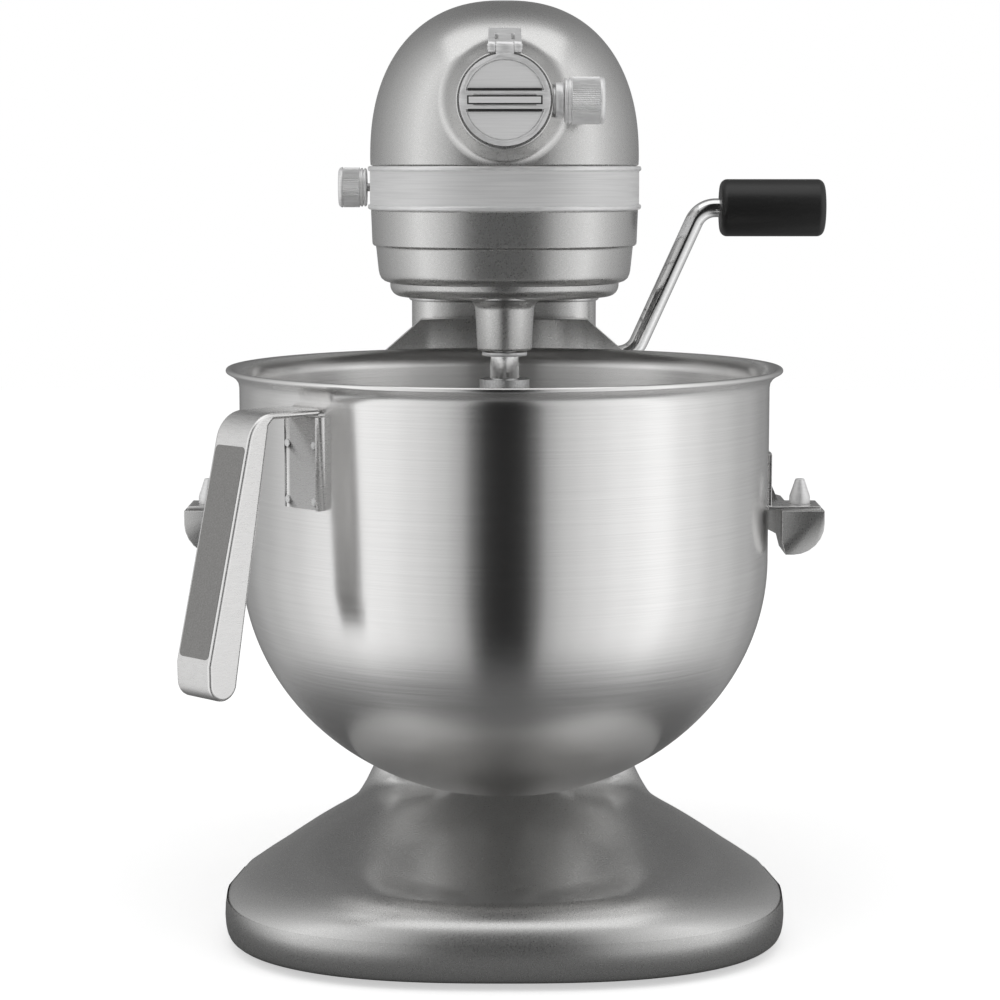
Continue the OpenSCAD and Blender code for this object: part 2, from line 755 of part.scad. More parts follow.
module fan() {
    color(dark) difference() {
        union() {
            rod_y(8, motor_y1 + 7, motor_y1 + 19, 0, motor_z);
            rod_y(33, motor_y1 + 7, motor_y1 + 8.5, 0, motor_z);
            for (i = [0 : 8]) translate([0, motor_y1 + 8, motor_z]) rotate([0, 40 * i, 0]) translate([7, 0, -0.8]) cube([25, 10, 1.6]);
        }
        rod_y(motor_shaft_r, motor_y1, motor_y1 + 40, 0, motor_z);
    }
}

module motor_can() {
    color(steel) difference() {
        rod_y(motor_r, motor_y0, motor_y1, 0, motor_z);
        rod_y(motor_r - 5, motor_y0 + 4, motor_y1 - 4, 0, motor_z);
        rod_y(9, motor_y0 - 1, motor_y1 + 1, 0, motor_z);
    }
}

module motor_bearings() {
    color(steel) for (y = [motor_y0, motor_y1 - 4]) difference() {
        rod_y(9, y, y + 4, 0, motor_z);
        rod_y(motor_shaft_r + run_gap, y - 1, y + 5, 0, motor_z);
    }
}

module motor_cradle() {
    color(iron) difference() {
        for (y = [motor_y0 + 8, motor_y1 - 18]) translate([-30, y, head_lo + 4]) cube([60, 10, 40]);
        rod_y(motor_r + run_gap, motor_y0 - 5, motor_y1 + 5, 0, motor_z);
    }
}

module control_board() {
    color("darkgreen") translate([-26, motor_y1 + 27, motor_z - 32]) cube([52, 1.6, 50]);
    color(dark) for (x = [-14, 8]) translate([x, motor_y1 + 28.6, motor_z - 14]) cube([12, 5, 14]);
}

// ---- Yoke and lever ----

function crank_z(down) = lever_z + crank_len * sin(47.5) - down * lift_travel;

yoke_top = pin_z + 78.5;
plate_hw = 41.4;
arm_x1 = pin_x + 10;

module yoke() {
    low = pin_z - 20;
    side = [[plate_hw, yoke_top], [pin_x - 10, pin_z + 7], [pin_x - 7.6, pin_z], [pin_x - 4, pin_z], [pin_x - 4, low + 4],
        [pin_x - 16, low + 6], [plate_hw, low + 38]];
    front = concat(side, [for (p = backwards(side)) [-p[0], p[1]]]);
    color(paint) difference() {
        union() {
            intersection() {
                difference() {
                    cylinder(r = arm_in_r + arm_t, h = 400, $fn = 96);
                    translate([0, 0, -1]) cylinder(r = arm_in_r, h = 402, $fn = 96);
                    translate([-400, -800 - 4, -1]) cube(800);
                }
                translate([0, 200, 0]) rotate([90, 0, 0]) linear_extrude(400) polygon(front);
            }
            difference() {
                translate([-plate_hw, slide_y, low + 12]) cube([2 * plate_hw, slide_t, yoke_top - low - 12]);
                translate([0, 0, low]) cylinder(r = arm_in_r, h = 200, $fn = 96);
            }
            for (s = [-1, 1]) arm_end(s);
        }
        translate([-rail_hw - 0.4, col_front - rail_out - 0.6, low]) cube([2 * rail_hw + 0.8, 30, 200]);
    }
}

module arm_end(s) {
    low = pin_z - 20;
    w = 28;
    x0 = pin_x - 9.3;
    r = 14;
    side = concat([[x0 + 1.6, low], [x0, low + 6], [x0, pin_z]], [[arm_x1, pin_z]],
        [for (t = [0 : -15 : -90]) [arm_x1 - r + r * cos(t), low + r + r * sin(t)]]);
    translate([0, w / 2, 0]) rotate([90, 0, 0]) linear_extrude(w) mirror([s < 0 ? 1 : 0, 0]) polygon(side);
}

module locating_pins() {
    color(bright) for (s = [-1, 1]) translate([s * pin_x, 0, pin_z]) {
        cylinder(r = 4.7, h = 5);
        translate([0, 0, 5]) cylinder(r1 = 4.7, r2 = 2, h = 8);
    }
}

stud_z = pin_z + 18;
stud_r = 3;

module latch_spring() {
    gap = stud_r + 0.3;
    y0 = bowl_r + 2.6;
    back = slide_y - 0.9;
    color(steel) {
        for (s = [-1, 1]) translate([s * (gap + 0.7) - 0.7, y0, stud_z - 5]) cube([1.4, back - y0, 10]);
        translate([-gap - 1.4, y0, stud_z - 7]) cube([2 * gap + 2.8, back - y0, 2]);
        translate([-gap - 1.4, back, stud_z - 12]) cube([2 * gap + 2.8, 0.9, 17]);
    }
}

lift_hw = 3.5;

module lift_bracket() {
    y0 = col_front - rail_out - 0.6;
    far = lever_y + crank_len + 10;
    slot_y0 = lever_y + crank_len * cos(47.5) - crank_pin_r - 1.2;
    color(steel) translate([lift_hw, 0, 0]) rotate([0, -90, 0]) linear_extrude(2 * lift_hw) difference() {
        translate([crank_z(0) - 8, y0]) square([16, far - y0]);
        translate([crank_z(0) - crank_pin_r - 1.3, slot_y0]) square([2 * crank_pin_r + 2.6, far - 4 - slot_y0]);
    }
}

module lever_rod() {
    lean = atan2(lever_top - lever_z, lever_x1 - lever_x0);
    bend = 12;
    lead = bend * tan(lean / 2);
    turn = [0 : lean / 6 : lean + eps];
    route = concat([[lever_x0 - lead - 3, lever_z, 0]],
        [for (t = turn) [lever_x0 - lead + bend * sin(t), lever_z + bend * (1 - cos(t)), t]],
        [for (t = turn) let (u = lean - t) [lever_x1 + lead - bend * sin(u), lever_top - bend * (1 - cos(u)), u]],
        [[lever_x1 + lead + 3, lever_top, 0]]);
    bent = [for (p = route) [for (i = [0 : 23]) let (t = 15 * i, up = (rod_r - eps) * sin(t))
        [p[0] - up * sin(p[2]), lever_y + (rod_r - eps) * cos(t), p[1] + up * cos(p[2])]]];
    color(bright) {
        rod_x(rod_r, lift_hw + 7, lever_x0 - lead, lever_y, lever_z);
        skin(bent);
        rod_x(rod_r, lever_x1 + lead, lever_x1 + 30, lever_y, lever_top);
    }
}

module lever_grip() {
    x0 = lever_x1 + 10;
    e = 3;
    color(dark) difference() {
        translate([x0, lever_y, lever_top]) rotate([0, 90, 0]) rotate_extrude() polygon(concat([[0, 0]],
            [for (t = [-90 : 22.5 : 0]) [grip_r - e + e * cos(t), e + e * sin(t)]],
            [for (t = [0 : 22.5 : 90]) [grip_r - e + e * cos(t), grip_len - e + e * sin(t)]], [[0, grip_len + 0.6]]));
        rod_x(rod_r, x0 - 1, lever_x1 + 30, lever_y, lever_top);
    }
}

module lever_bush() {
    color(dark) difference() {
        rod_x(8, col_hw - 7, col_hw + 4, lever_y, lever_z);
        rod_x(rod_r + run_gap, 0, 100, lever_y, lever_z);
    }
    color(dark) difference() {
        rod_x(10.5, col_hw + 1.2, col_hw + 4, lever_y, lever_z);
        rod_x(8 - eps, 0, 100, lever_y, lever_z);
    }
}

module lift_crank() {
    x0 = lift_hw + 1;
    arm = 5.5;
    pin_y = lever_y + crank_len * cos(47.5);
    link = concat([for (t = [90 : 20 : 270]) 9.5 * [cos(t), sin(t)]],
        [for (t = [-80 : 20 : 80]) [crank_len + 6.5 * cos(t), 6.5 * sin(t)]]);
    color(steel) difference() {
        union() {
            translate([x0, lever_y, lever_z]) rotate([47.5, 0, 0]) rotate([90, 0, 90])
                linear_extrude(arm) polygon(link);
            rod_x(8, x0 + 2, x0 + 10, lever_y, lever_z);
            rod_x(crank_pin_r, -lift_hw - 2, x0 + 2, pin_y, crank_z(0));
        }
        rod_x(rod_r, lift_hw + 7, 60, lever_y, lever_z);
    }
}

// ---- Bowl ----

module bowl() {
    depth = knuckle_z - floor_z;
    steps = 14;
    // Share of the way round the lower quarter that the flat foot leaves
    last = acos(foot_ring_r / bowl_r);
    outer = [for (i = [0 : steps]) let (t = last * i / steps) [bowl_r * cos(t), knuckle_z - depth * sin(t) / sin(last)]];
    inner = [for (p = outer) let (v = (knuckle_z - p[1]) / depth, r = p[0] - bowl_wall * (1 - 0.3 * v))
        [r, p[1] + bowl_wall * v]];
    flare = rim_r - bowl_r;
    rim = [[bowl_r, rim_z - 8], [bowl_r + flare * 0.25, rim_z - 5], [bowl_r + flare * 0.55, rim_z - 3], [rim_r - 0.6, rim_z - 2.4],
        [rim_r, rim_z - 1.2], [rim_r - 0.6, rim_z], [bowl_r + flare * 0.45, rim_z - 0.6],
        [bowl_r - bowl_wall + flare * 0.16, rim_z - 4], [bowl_r - bowl_wall, rim_z - 8]];
    profile = concat([[0, floor_z + 4 + bowl_wall], [foot_ring_r - 12, floor_z + 4 + bowl_wall]], backwards(inner), backwards(rim), outer,
        [[foot_ring_r - 3, floor_z], [foot_ring_r - 11, floor_z + 4], [0, floor_z + 4]]);
    color(steel) rotate_extrude($fn = 128) polygon(profile);
}

module bowl_brackets() {
    w = 24;
    low = pin_z + seat_gap;
    for (s = [0, 180]) color(steel) rotate(s) difference() {
        union() {
            intersection() {
                translate([0, 0, low]) cylinder(r = bowl_r + plate_t, h = 25, $fn = 128);
                translate([bowl_r - 6, -10, low]) cube([12, 20, 25]);
            }
            translate([bowl_r - 6, -w / 2, low]) cube([arm_x1 - 1.5 - bowl_r + 6, w, plate_t]);
        }
        translate([0, 0, low - 1]) cylinder(r = bowl_r, h = 40, $fn = 128);
        translate([pin_x, 0, low - 1]) cylinder(r = 5.3, h = 8);
    }
}

module handle_bracket() {
    span = 24 / bowl_r * 180 / PI;
    low = bracket_z - 18.5;
    color(steel) rotate(handle_turn) {
        rotate(-span / 2) rotate_extrude(angle = span, $fn = 128)
            translate([bowl_r, low]) square([bracket_t, 42.5 - strap_t]);
        rotate(span / 2 - 0.8) rotate_extrude(angle = 0.8, $fn = 128)
            translate([bowl_r, low]) square([bracket_t + 2.4, 42.5 - strap_t]);
    }
}

module bowl_handle() {
    r0 = bowl_r + 0.4;
    out = bowl_r + handle_out;
    top = bracket_z + 24.6;
    slant = 22;
    drop = 88;
    thick = 11;
    bend = 14;
    mid = [out + slant - 7.6, top - bend - drop - 8];
    outline = concat([[r0, top]],
        [for (t = [90 : -13 : 12]) [out - bend + bend * cos(t), top - bend + bend * sin(t)]],
        [[out + slant, top - bend - drop]],
        [for (t = [0 : -30 : -180]) mid + 7.4 * [cos(t), sin(t)]],
        [[out - thick - 0.5, top - strap_t - 2.4], [out - thick - 3, top - strap_t], [r0, top - strap_t]]);
    color(steel) rotate(handle_turn) translate([0, handle_w / 2, 0]) rotate([90, 0, 0])
        linear_extrude(handle_w) polygon(outline);
}

module bowl_studs() {
    color(bright) rotate(handle_turn) for (y = [-9.4, 7.6], z = [-12, 12]) rotate(y / bowl_r * 57.3)
        translate([bowl_r + bracket_t, 0, bracket_z + z - 3]) rotate([0, 90, 0]) cylinder(r = 1.7, h = 0.7);
    color(bright) {
        rod_y(stud_r, bowl_r - 0.2, slide_y - 2.6, 0, stud_z);
        rod_y(stud_r + 2.4, bowl_r - 0.2, bowl_r + 1.4, 0, stud_z);
    }
}

base_casting();
base_cover();
rubber_feet();
column_bolts();
column_casting();
neck_screws();
lower_housing();
upper_housing();
trim_band();
rear_cover();
rear_cover_screw();
cord_gland();
hub_barrel();
hub_hinge_bracket();
hub_hinge_pin();
hub_cover();
hub_screw_collar();
hub_screw_stem();
hub_knob();
speed_knob();
speed_lever();
planetary_housing();
planet_bushes();
beater_shaft();
shaft_washer();
beater_pin();
flat_beater();
ring_gear();
planet_pinion();
centre_shaft();
centre_gear();
centre_bevel();
hub_bevel();
hub_drive_shaft();
gear_frame();
drive_bushes();
intermediate_shaft();
drive_pinion();
worm_wheel();
motor_shaft();
worm();
rotor_core();
fan();
motor_can();
motor_bearings();
motor_cradle();
control_board();
yoke();
locating_pins();
latch_spring();
lift_bracket();
lever_rod();
lever_grip();
lever_bush();
lift_crank();
bowl();
bowl_brackets();
handle_bracket();
bowl_handle();
bowl_studs();
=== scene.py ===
"""Bowl-lift stand mixer: looks, stage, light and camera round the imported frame. Metres."""
import json
import math

import bpy
from mathutils import Matrix, Vector


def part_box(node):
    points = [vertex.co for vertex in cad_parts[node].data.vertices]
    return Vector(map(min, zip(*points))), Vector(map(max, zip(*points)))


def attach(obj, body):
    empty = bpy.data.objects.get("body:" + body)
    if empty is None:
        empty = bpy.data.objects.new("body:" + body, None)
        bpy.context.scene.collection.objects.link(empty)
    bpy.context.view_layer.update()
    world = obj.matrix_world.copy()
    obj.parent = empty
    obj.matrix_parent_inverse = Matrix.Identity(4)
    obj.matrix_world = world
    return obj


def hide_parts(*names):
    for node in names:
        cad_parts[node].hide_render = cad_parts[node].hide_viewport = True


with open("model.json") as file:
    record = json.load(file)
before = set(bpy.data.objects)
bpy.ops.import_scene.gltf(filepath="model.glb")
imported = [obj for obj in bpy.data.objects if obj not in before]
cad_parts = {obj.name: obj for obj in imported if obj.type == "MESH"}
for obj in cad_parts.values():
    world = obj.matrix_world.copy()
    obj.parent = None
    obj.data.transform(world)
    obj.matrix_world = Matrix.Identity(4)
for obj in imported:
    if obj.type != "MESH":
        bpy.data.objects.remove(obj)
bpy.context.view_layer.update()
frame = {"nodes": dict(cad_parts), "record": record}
nodes = frame["nodes"]

# ---- Sizes read off the frame ----


def low(node, axis):
    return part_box(node)[0][axis]


def high(node, axis):
    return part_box(node)[1][axis]


MM = 0.001
X, Y, Z = 0, 1, 2

head_hw = high("lower_housing", X) + 0.2 * MM
nose_y = low("lower_housing", Y) - 0.2 * MM
tail_y = high("lower_housing", Y) + 0.2 * MM
head_yc = 10 * MM
nose_curve, tail_curve = 3, 2.9
across_curve, along_curve = 2.3, 2.8
band_lo = low("trim_band", Z)
band_hi = high("trim_band", Z)
dome_z = band_hi + 3 * MM
head_top = high("upper_housing", Z)
dome_h = head_top - dome_z
head_lo = low("planetary_housing", Z) + 29.4 * MM
neck_top = low("lower_housing", Z)

hub_z = (low("hub_barrel", Z) + high("hub_barrel", Z)) / 2
hub_r = high("hub_barrel", X)
hub_y = low("hub_barrel", Y)

col_front = low("lift_bracket", Y) + 5.6 * MM
col_back = tail_y - 13 * MM
col_yc = (col_front + col_back) / 2
col_hw = 47.3 * MM

base_hw = high("base_casting", X)
base_reach = -low("base_casting", Y)
base_back = high("base_casting", Y)
base_foot = low("base_casting", Z)
base_yc = -20 * MM
base_h = 34 * MM
pad_z = high("base_casting", Z)

bowl_r = 119.5 * MM
bowl_wall = 1.2 * MM
rim_r = high("bowl", X)
rim_z = high("bowl", Z)
floor_z = low("bowl", Z)
knuckle_z = rim_z - 87.4 * MM

orbit = 32 * MM
boss_z = low("planetary_housing", Z)
disc_r = high("planetary_housing", X)
disc_z = head_lo - 7 * MM
centre_hub = 13 * MM

grip_x0, grip_x1 = low("lever_grip", X), high("lever_grip", X)
grip_r = (high("lever_grip", Z) - low("lever_grip", Z)) / 2
lever_y = (low("lever_grip", Y) + high("lever_grip", Y)) / 2
lever_top = (low("lever_grip", Z) + high("lever_grip", Z)) / 2

handle_turn = math.radians(225)
handle_w = 22 * MM
handle_out = 40 * MM


# ---- Shapes ----


def spow(v, p):
    return math.copysign(abs(v) ** p, v)


def round_off(v, n):
    return max(0.0, 1 - abs(v) ** n) ** (1 / n)


def smooth(v):
    v = min(1.0, max(0.0, v))
    return v * v * (3 - 2 * v)


def oval(a, front, back, n_front, n_back, yc, count):
    points = []
    for i in range(count):
        t = 2 * math.pi * (i + 0.5) / count
        n = n_front if math.sin(t) < 0 else n_back
        reach = front if math.sin(t) < 0 else back
        points.append((a * spow(math.cos(t), 2 / n), yc + reach * spow(math.sin(t), 2 / n)))
    return points


def head_plan(d, sx=1.0, sy=1.0, count=240):
    front = (head_yc - nose_y + d) * sy
    back = (tail_y - head_yc + d) * sy
    return oval((head_hw + d) * sx, front, back, nose_curve, tail_curve, head_yc, count)


def at_z(outline, z):
    return [(x, y, z) for x, y in outline]


def dome_rings(d, steps):
    rings = []
    for i in range(steps):
        v = math.sin(math.radians(89.2 * i / (steps - 1)))
        plan = head_plan(d, round_off(v, across_curve), round_off(v, along_curve))
        rings.append(at_z(plan, dome_z + (dome_h + d) * v))
    return rings


def new_object(name, verts, faces, smooth_angle=35):
    mesh = bpy.data.meshes.new(name)
    mesh.from_pydata(verts, [], faces)
    mesh.validate()
    obj = bpy.data.objects.new(name, mesh)
    bpy.context.scene.collection.objects.link(obj)
    soften(obj, smooth_angle)
    return obj


def soften(obj, angle=35):
    """Smooth shading, with edges sharper than the angle kept sharp."""
    obj.data.shade_smooth()
    obj.data.set_sharp_from_angle(angle=math.radians(angle))


def skin(name, rings, loop=False, angle=35):
    """Closed mesh through a stack of rings, like the CAD's own."""
    n, m = len(rings[0]), len(rings)
    verts = [p for r in rings for p in r]
    faces = []
    for j in range(m if loop else m - 1):
        k = ((j + 1) % m) * n
        faces += [(j * n + i, j * n + (i + 1) % n, k + (i + 1) % n, k + i) for i in range(n)]
    if not loop:
        for ring, first, flip in ((rings[0], 0, True), (rings[-1], (m - 1) * n, False)):
            mid = len(verts)
            verts.append(tuple(sum(p[a] for p in ring) / n for a in range(3)))
            fan = [(first + i, first + (i + 1) % n, mid) for i in range(n)]
            faces += [f[::-1] for f in fan] if flip else fan
    return new_object(name, verts, faces, angle)


def lathe(name, profile, count=128, place=None, angle=35):
    """Solid turned about Z from (radius, height) points; a radius of 0 closes on the axis."""
    verts, rows = [], []
    for r, z in profile:
        if r < 1e-7:
            rows.append([len(verts)])
            verts.append((0, 0, z))
        else:
            rows.append(list(range(len(verts), len(verts) + count)))
            verts += [(r * math.cos(2 * math.pi * i / count), r * math.sin(2 * math.pi * i / count), z)
                      for i in range(count)]
    faces = []
    closed = len(rows[0]) > 1 and len(rows[-1]) > 1
    for a, b in zip(rows, rows[1:] + ([rows[0]] if closed else [])):
        for i in range(count):
            j = (i + 1) % count
            quad = [a[i % len(a)], a[j % len(a)], b[j % len(b)], b[i % len(b)]]
            face = tuple(dict.fromkeys(quad))
            if len(face) > 2:
                faces.append(face)
    obj = new_object(name, verts, faces, angle)
    if place is not None:
        obj.data.transform(place)
    return obj


def arc(cx, cy, r, a0, a1, steps=6):
    """Points of an arc, angles in degrees."""
    turns = [math.radians(a0 + (a1 - a0) * i / steps) for i in range(steps + 1)]
    return [(cx + r * math.cos(t), cy + r * math.sin(t)) for t in turns]


def block(name, lo, hi):
    xs, ys, zs = zip(lo, hi)
    verts = [(xs[i & 1], ys[i >> 1 & 1], zs[i >> 2 & 1]) for i in range(8)]
    faces = [(0, 2, 3, 1), (4, 5, 7, 6), (0, 1, 5, 4), (2, 6, 7, 3), (0, 4, 6, 2), (1, 3, 7, 5)]
    return new_object(name, verts, faces)


def carve(obj, tool, operation="DIFFERENCE", angle=35):
    """Boolean of obj with tool, applied; the tool is used up."""
    step = obj.modifiers.new("cut", "BOOLEAN")
    step.operation = operation
    step.solver = "EXACT"
    step.object = tool
    graph = bpy.context.evaluated_depsgraph_get()
    mesh = bpy.data.meshes.new_from_object(obj.evaluated_get(graph))
    obj.modifiers.clear()
    obj.data = mesh
    bpy.data.objects.remove(tool)
    soften(obj, angle)


def round_edges(obj, width, segments, angle=35):
    """Bevel; a CAD node's triangles are merged into flat faces first."""
    if obj.name in nodes or obj in nodes.values():
        weld = obj.modifiers.new("weld", "WELD")
        weld.merge_threshold = 2e-6
        flat = obj.modifiers.new("flat", "DECIMATE")
        flat.decimate_type = "DISSOLVE"
        flat.angle_limit = math.radians(0.6)
    step = obj.modifiers.new("edges", "BEVEL")
    step.width = width
    step.segments = segments
    step.limit_method = "ANGLE"
    step.angle_limit = math.radians(angle)
    step.harden_normals = True


def extruded(name, outline, depth, place):
    """Prism of an XY outline (counter-clockwise), centred on Z, then placed."""
    n = len(outline)
    verts = [(x, y, -depth / 2) for x, y in outline] + [(x, y, depth / 2) for x, y in outline]
    faces = [tuple(range(n))[::-1], tuple(range(n, 2 * n))]
    faces += [(i, (i + 1) % n, n + (i + 1) % n, n + i) for i in range(n)]
    obj = new_object(name, verts, faces)
    obj.data.transform(place)
    return obj


def along_y(x, y, z):
    """Lathe axis turned to +Y, standing at the point."""
    return Matrix.Translation((x, y, z)) @ Matrix.Rotation(math.radians(-90), 4, "X")


def along_x(x, y, z):
    return Matrix.Translation((x, y, z)) @ Matrix.Rotation(math.radians(90), 4, "Y")


# ---- Materials ----


class Paint:
    """Small helper that wires one Principled material."""

    def __init__(self, name, **sockets):
        self.mat = bpy.data.materials.new(name)
        self.mat.use_nodes = True
        self.tree = self.mat.node_tree
        self.bsdf = self.tree.nodes["Principled BSDF"]
        for key, value in sockets.items():
            self.bsdf.inputs[key.replace("_", " ")].default_value = value

    def node(self, kind, **values):
        made = self.tree.nodes.new(kind)
        for key, value in values.items():
            if key in made.inputs:
                made.inputs[key].default_value = value
            else:
                setattr(made, key, value)
        return made

    def link(self, a, b):
        self.tree.links.new(a, b)

    def coords(self, scale):
        place = self.node("ShaderNodeTexCoord")
        spread = self.node("ShaderNodeMapping")
        spread.inputs["Scale"].default_value = scale
        self.link(place.outputs["Object"], spread.inputs["Vector"])
        return spread.outputs["Vector"]

    def noise(self, scale, detail, stretch=(1, 1, 1)):
        made = self.node("ShaderNodeTexNoise", Scale=scale, Detail=detail)
        self.link(self.coords(stretch), made.inputs["Vector"])
        return made.outputs["Fac"]

    def ramp(self, value, low_value, high_value, start=0.35, end=0.65):
        made = self.node("ShaderNodeMapRange")
        made.inputs["From Min"].default_value = start
        made.inputs["From Max"].default_value = end
        made.inputs["To Min"].default_value = low_value
        made.inputs["To Max"].default_value = high_value
        self.link(value, made.inputs["Value"])
        return made.outputs["Result"]

    def tint(self, value, dark_rgb, light_rgb, start=0.35, end=0.65):
        made = self.node("ShaderNodeValToRGB")
        made.color_ramp.elements[0].position = start
        made.color_ramp.elements[0].color = (*dark_rgb, 1)
        made.color_ramp.elements[1].position = end
        made.color_ramp.elements[1].color = (*light_rgb, 1)
        self.link(value, made.inputs["Fac"])
        self.link(made.outputs["Color"], self.bsdf.inputs["Base Color"])

    def bump(self, value, strength, distance):
        made = self.node("ShaderNodeBump", Strength=strength, Distance=distance)
        self.link(value, made.inputs["Height"])
        self.link(made.outputs["Normal"], self.bsdf.inputs["Normal"])


def silver_paint():
    """Metallic lacquer: fine flakes under a satin clear coat, with a faint orange peel."""
    p = Paint("silver_paint", Metallic=0.95, Coat_Weight=0.2, Coat_Roughness=0.15)
    flakes = p.noise(3200, 1.0)
    p.tint(flakes, (0.57, 0.568, 0.562), (0.70, 0.697, 0.690), 0.3, 0.7)
    rough = p.ramp(p.noise(1500, 1.0), 0.27, 0.32)
    p.link(rough, p.bsdf.inputs["Roughness"])
    p.bump(p.noise(700, 2.0), 0.03, 0.0003)
    return p.mat


def bowl_steel():
    """Stainless steel brushed round the bowl: long fine scratches across a satin polish."""
    p = Paint("bowl_steel", Metallic=1.0, Anisotropic=0.9, Anisotropic_Rotation=0.25)
    lines = p.noise(1.0, 3.0, stretch=(16, 16, 3200))
    p.tint(lines, (0.78, 0.776, 0.770), (0.85, 0.846, 0.840), 0.3, 0.7)
    p.link(p.ramp(lines, 0.20, 0.25), p.bsdf.inputs["Roughness"])
    p.bump(lines, 0.02, 0.0001)
    tangent = p.node("ShaderNodeTangent", direction_type="RADIAL", axis="Z")
    p.link(tangent.outputs["Tangent"], p.bsdf.inputs["Tangent"])
    return p.mat


def sheet_steel():
    """Straight-brushed stainless sheet for the handle and brackets."""
    p = Paint("sheet_steel", Metallic=1.0)
    lines = p.noise(1.0, 3.0, stretch=(220, 220, 2400))
    p.tint(lines, (0.76, 0.755, 0.75), (0.84, 0.835, 0.83), 0.3, 0.7)
    p.link(p.ramp(lines, 0.26, 0.32), p.bsdf.inputs["Roughness"])
    p.bump(lines, 0.02, 0.0001)
    return p.mat


def etched_steel():
    """Matt grey etched panel of the handle."""
    p = Paint("etched_steel", Metallic=0.85, Roughness=0.5)
    p.tint(p.noise(1800, 2.0), (0.26, 0.256, 0.25), (0.34, 0.336, 0.33), 0.3, 0.7)
    p.bump(p.noise(2500, 2.0), 0.08, 0.0002)
    return p.mat


def satin_chrome(name, light, rough, stretch=(300, 300, 1200)):
    p = Paint(name, Metallic=1.0)
    lines = p.noise(1.0, 2.0, stretch=stretch)
    p.tint(lines, (light - 0.10,) * 3, (light,) * 3, 0.3, 0.7)
    p.link(p.ramp(lines, *rough), p.bsdf.inputs["Roughness"])
    p.bump(lines, 0.04, 0.0002)
    return p.mat


def dark_finish(name, shade, rough, grain=900, depth=0.12, metallic=0.0):
    p = Paint(name, Metallic=metallic, Specular_IOR_Level=0.5)
    speck = p.noise(grain, 3.0)
    p.tint(speck, (shade * 0.8,) * 3, (shade * 1.2,) * 3, 0.3, 0.7)
    p.link(p.ramp(speck, rough - 0.05, rough + 0.05), p.bsdf.inputs["Roughness"])
    p.bump(speck, depth, 0.0003)
    return p.mat


def bronze():
    p = Paint("bronze", Metallic=1.0)
    speck = p.noise(1500, 2.0)
    p.tint(speck, (0.42, 0.27, 0.12), (0.60, 0.42, 0.22), 0.3, 0.7)
    p.link(p.ramp(speck, 0.3, 0.45), p.bsdf.inputs["Roughness"])
    return p.mat


def satin_trim(name, light, rough, metal, stretch=(200, 200, 1400)):
    """Pale brushed trim with little mirror in it."""
    p = Paint(name, Metallic=metal)
    lines = p.noise(1.0, 2.0, stretch=stretch)
    p.tint(lines, (light - 0.05,) * 3, (light + 0.05,) * 3, 0.3, 0.7)
    p.link(p.ramp(lines, rough - 0.05, rough + 0.05), p.bsdf.inputs["Roughness"])
    p.bump(lines, 0.03, 0.0002)
    return p.mat


looks = {
    "silver_paint": silver_paint(),
    "bowl_steel": bowl_steel(),
    "bright_trim": satin_trim("bright_trim", 0.90, 0.34, 0.4),
    "polished_rod": satin_chrome("polished_rod", 0.84, (0.07, 0.13), (900, 900, 900)),
    "black_grip": dark_finish("black_grip", 0.012, 0.36, 1400, 0.10),
    "rubber": dark_finish("rubber", 0.02, 0.62),
    "black_plastic": dark_finish("black_plastic", 0.03, 0.5),
    "steel_screws": satin_chrome("steel_screws", 0.62, (0.25, 0.36)),
    "gear_steel": satin_chrome("gear_steel", 0.42, (0.3, 0.42)),
    "bronze": bronze(),
    "cast_aluminium": dark_finish("cast_aluminium", 0.5, 0.42, 1100, 0.15, 1.0),
}
sheet = sheet_steel()
etched = etched_steel()
# Near-black finish for thin sheets laid in the hub cover's gaps and round its plate: painted shade where the
# gaps' shadow falls.
gap_shade_paint = dark_finish("painted_gap_shade", 0.02, 0.5)
band_fill = satin_trim("band_fill", 0.80, 0.42, 0.2, (30, 30, 1500))
cover_fill = satin_trim("cover_fill", 0.92, 0.4, 0.2, (30, 30, 2400))

slot_of = {row["node"]: row["material_slot"] for row in frame["record"]["subparts"]}
for node_name, node in nodes.items():
    node.data.materials.clear()
    node.data.materials.append(looks[slot_of[node_name]])
    soften(node, 32)
for node_name in ("bowl_brackets", "handle_bracket"):
    nodes[node_name].data.materials[0] = sheet


def add(piece, body, slot, material=None, replaced=()):
    """Gives a new piece its finish, its body and the CAD nodes that it stands for."""
    piece.data.materials.clear()
    piece.data.materials.append(material or looks[slot])
    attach(piece, body)
    if replaced:
        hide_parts(*replaced)
    return piece


# ---- Head ----

seat_in = 1.8 * MM
cavity_in = 6.6 * MM
split_y = tail_y - 38 * MM
far = 0.3


def dome_front(x, z):
    """Y of the dome's front surface over a point of the front view."""
    v = (z - dome_z) / dome_h
    across = min(1.0, abs(x) / (head_hw * max(1e-6, round_off(v, across_curve))))
    return head_yc - (head_yc - nose_y) * round_off(v, along_curve) * round_off(across, nose_curve)


def head_shell(name, seated):
    rings = dome_rings(-cavity_in, 30)[::-1]
    if seated:
        rings += [at_z(head_plan(-cavity_in), band_lo), at_z(head_plan(-seat_in), band_lo),
                  at_z(head_plan(-seat_in), band_hi - 0.2 * MM)]
    else:
        rings += [at_z(head_plan(-cavity_in), band_hi + 0.3 * MM)]
    rings += [at_z(head_plan(-0.5 * MM), band_hi + 0.25 * MM),
              at_z(head_plan(-0.1 * MM), band_hi + 0.7 * MM)]
    return skin(name, rings + dome_rings(0, 44))


def speed_slot():
    z = (band_lo + band_hi) / 2
    half = 2.4 * MM
    return block("slot_cut", (-head_hw - 6 * MM, 7 * MM, z - half), (-head_hw + 14 * MM, 58 * MM, z + half))


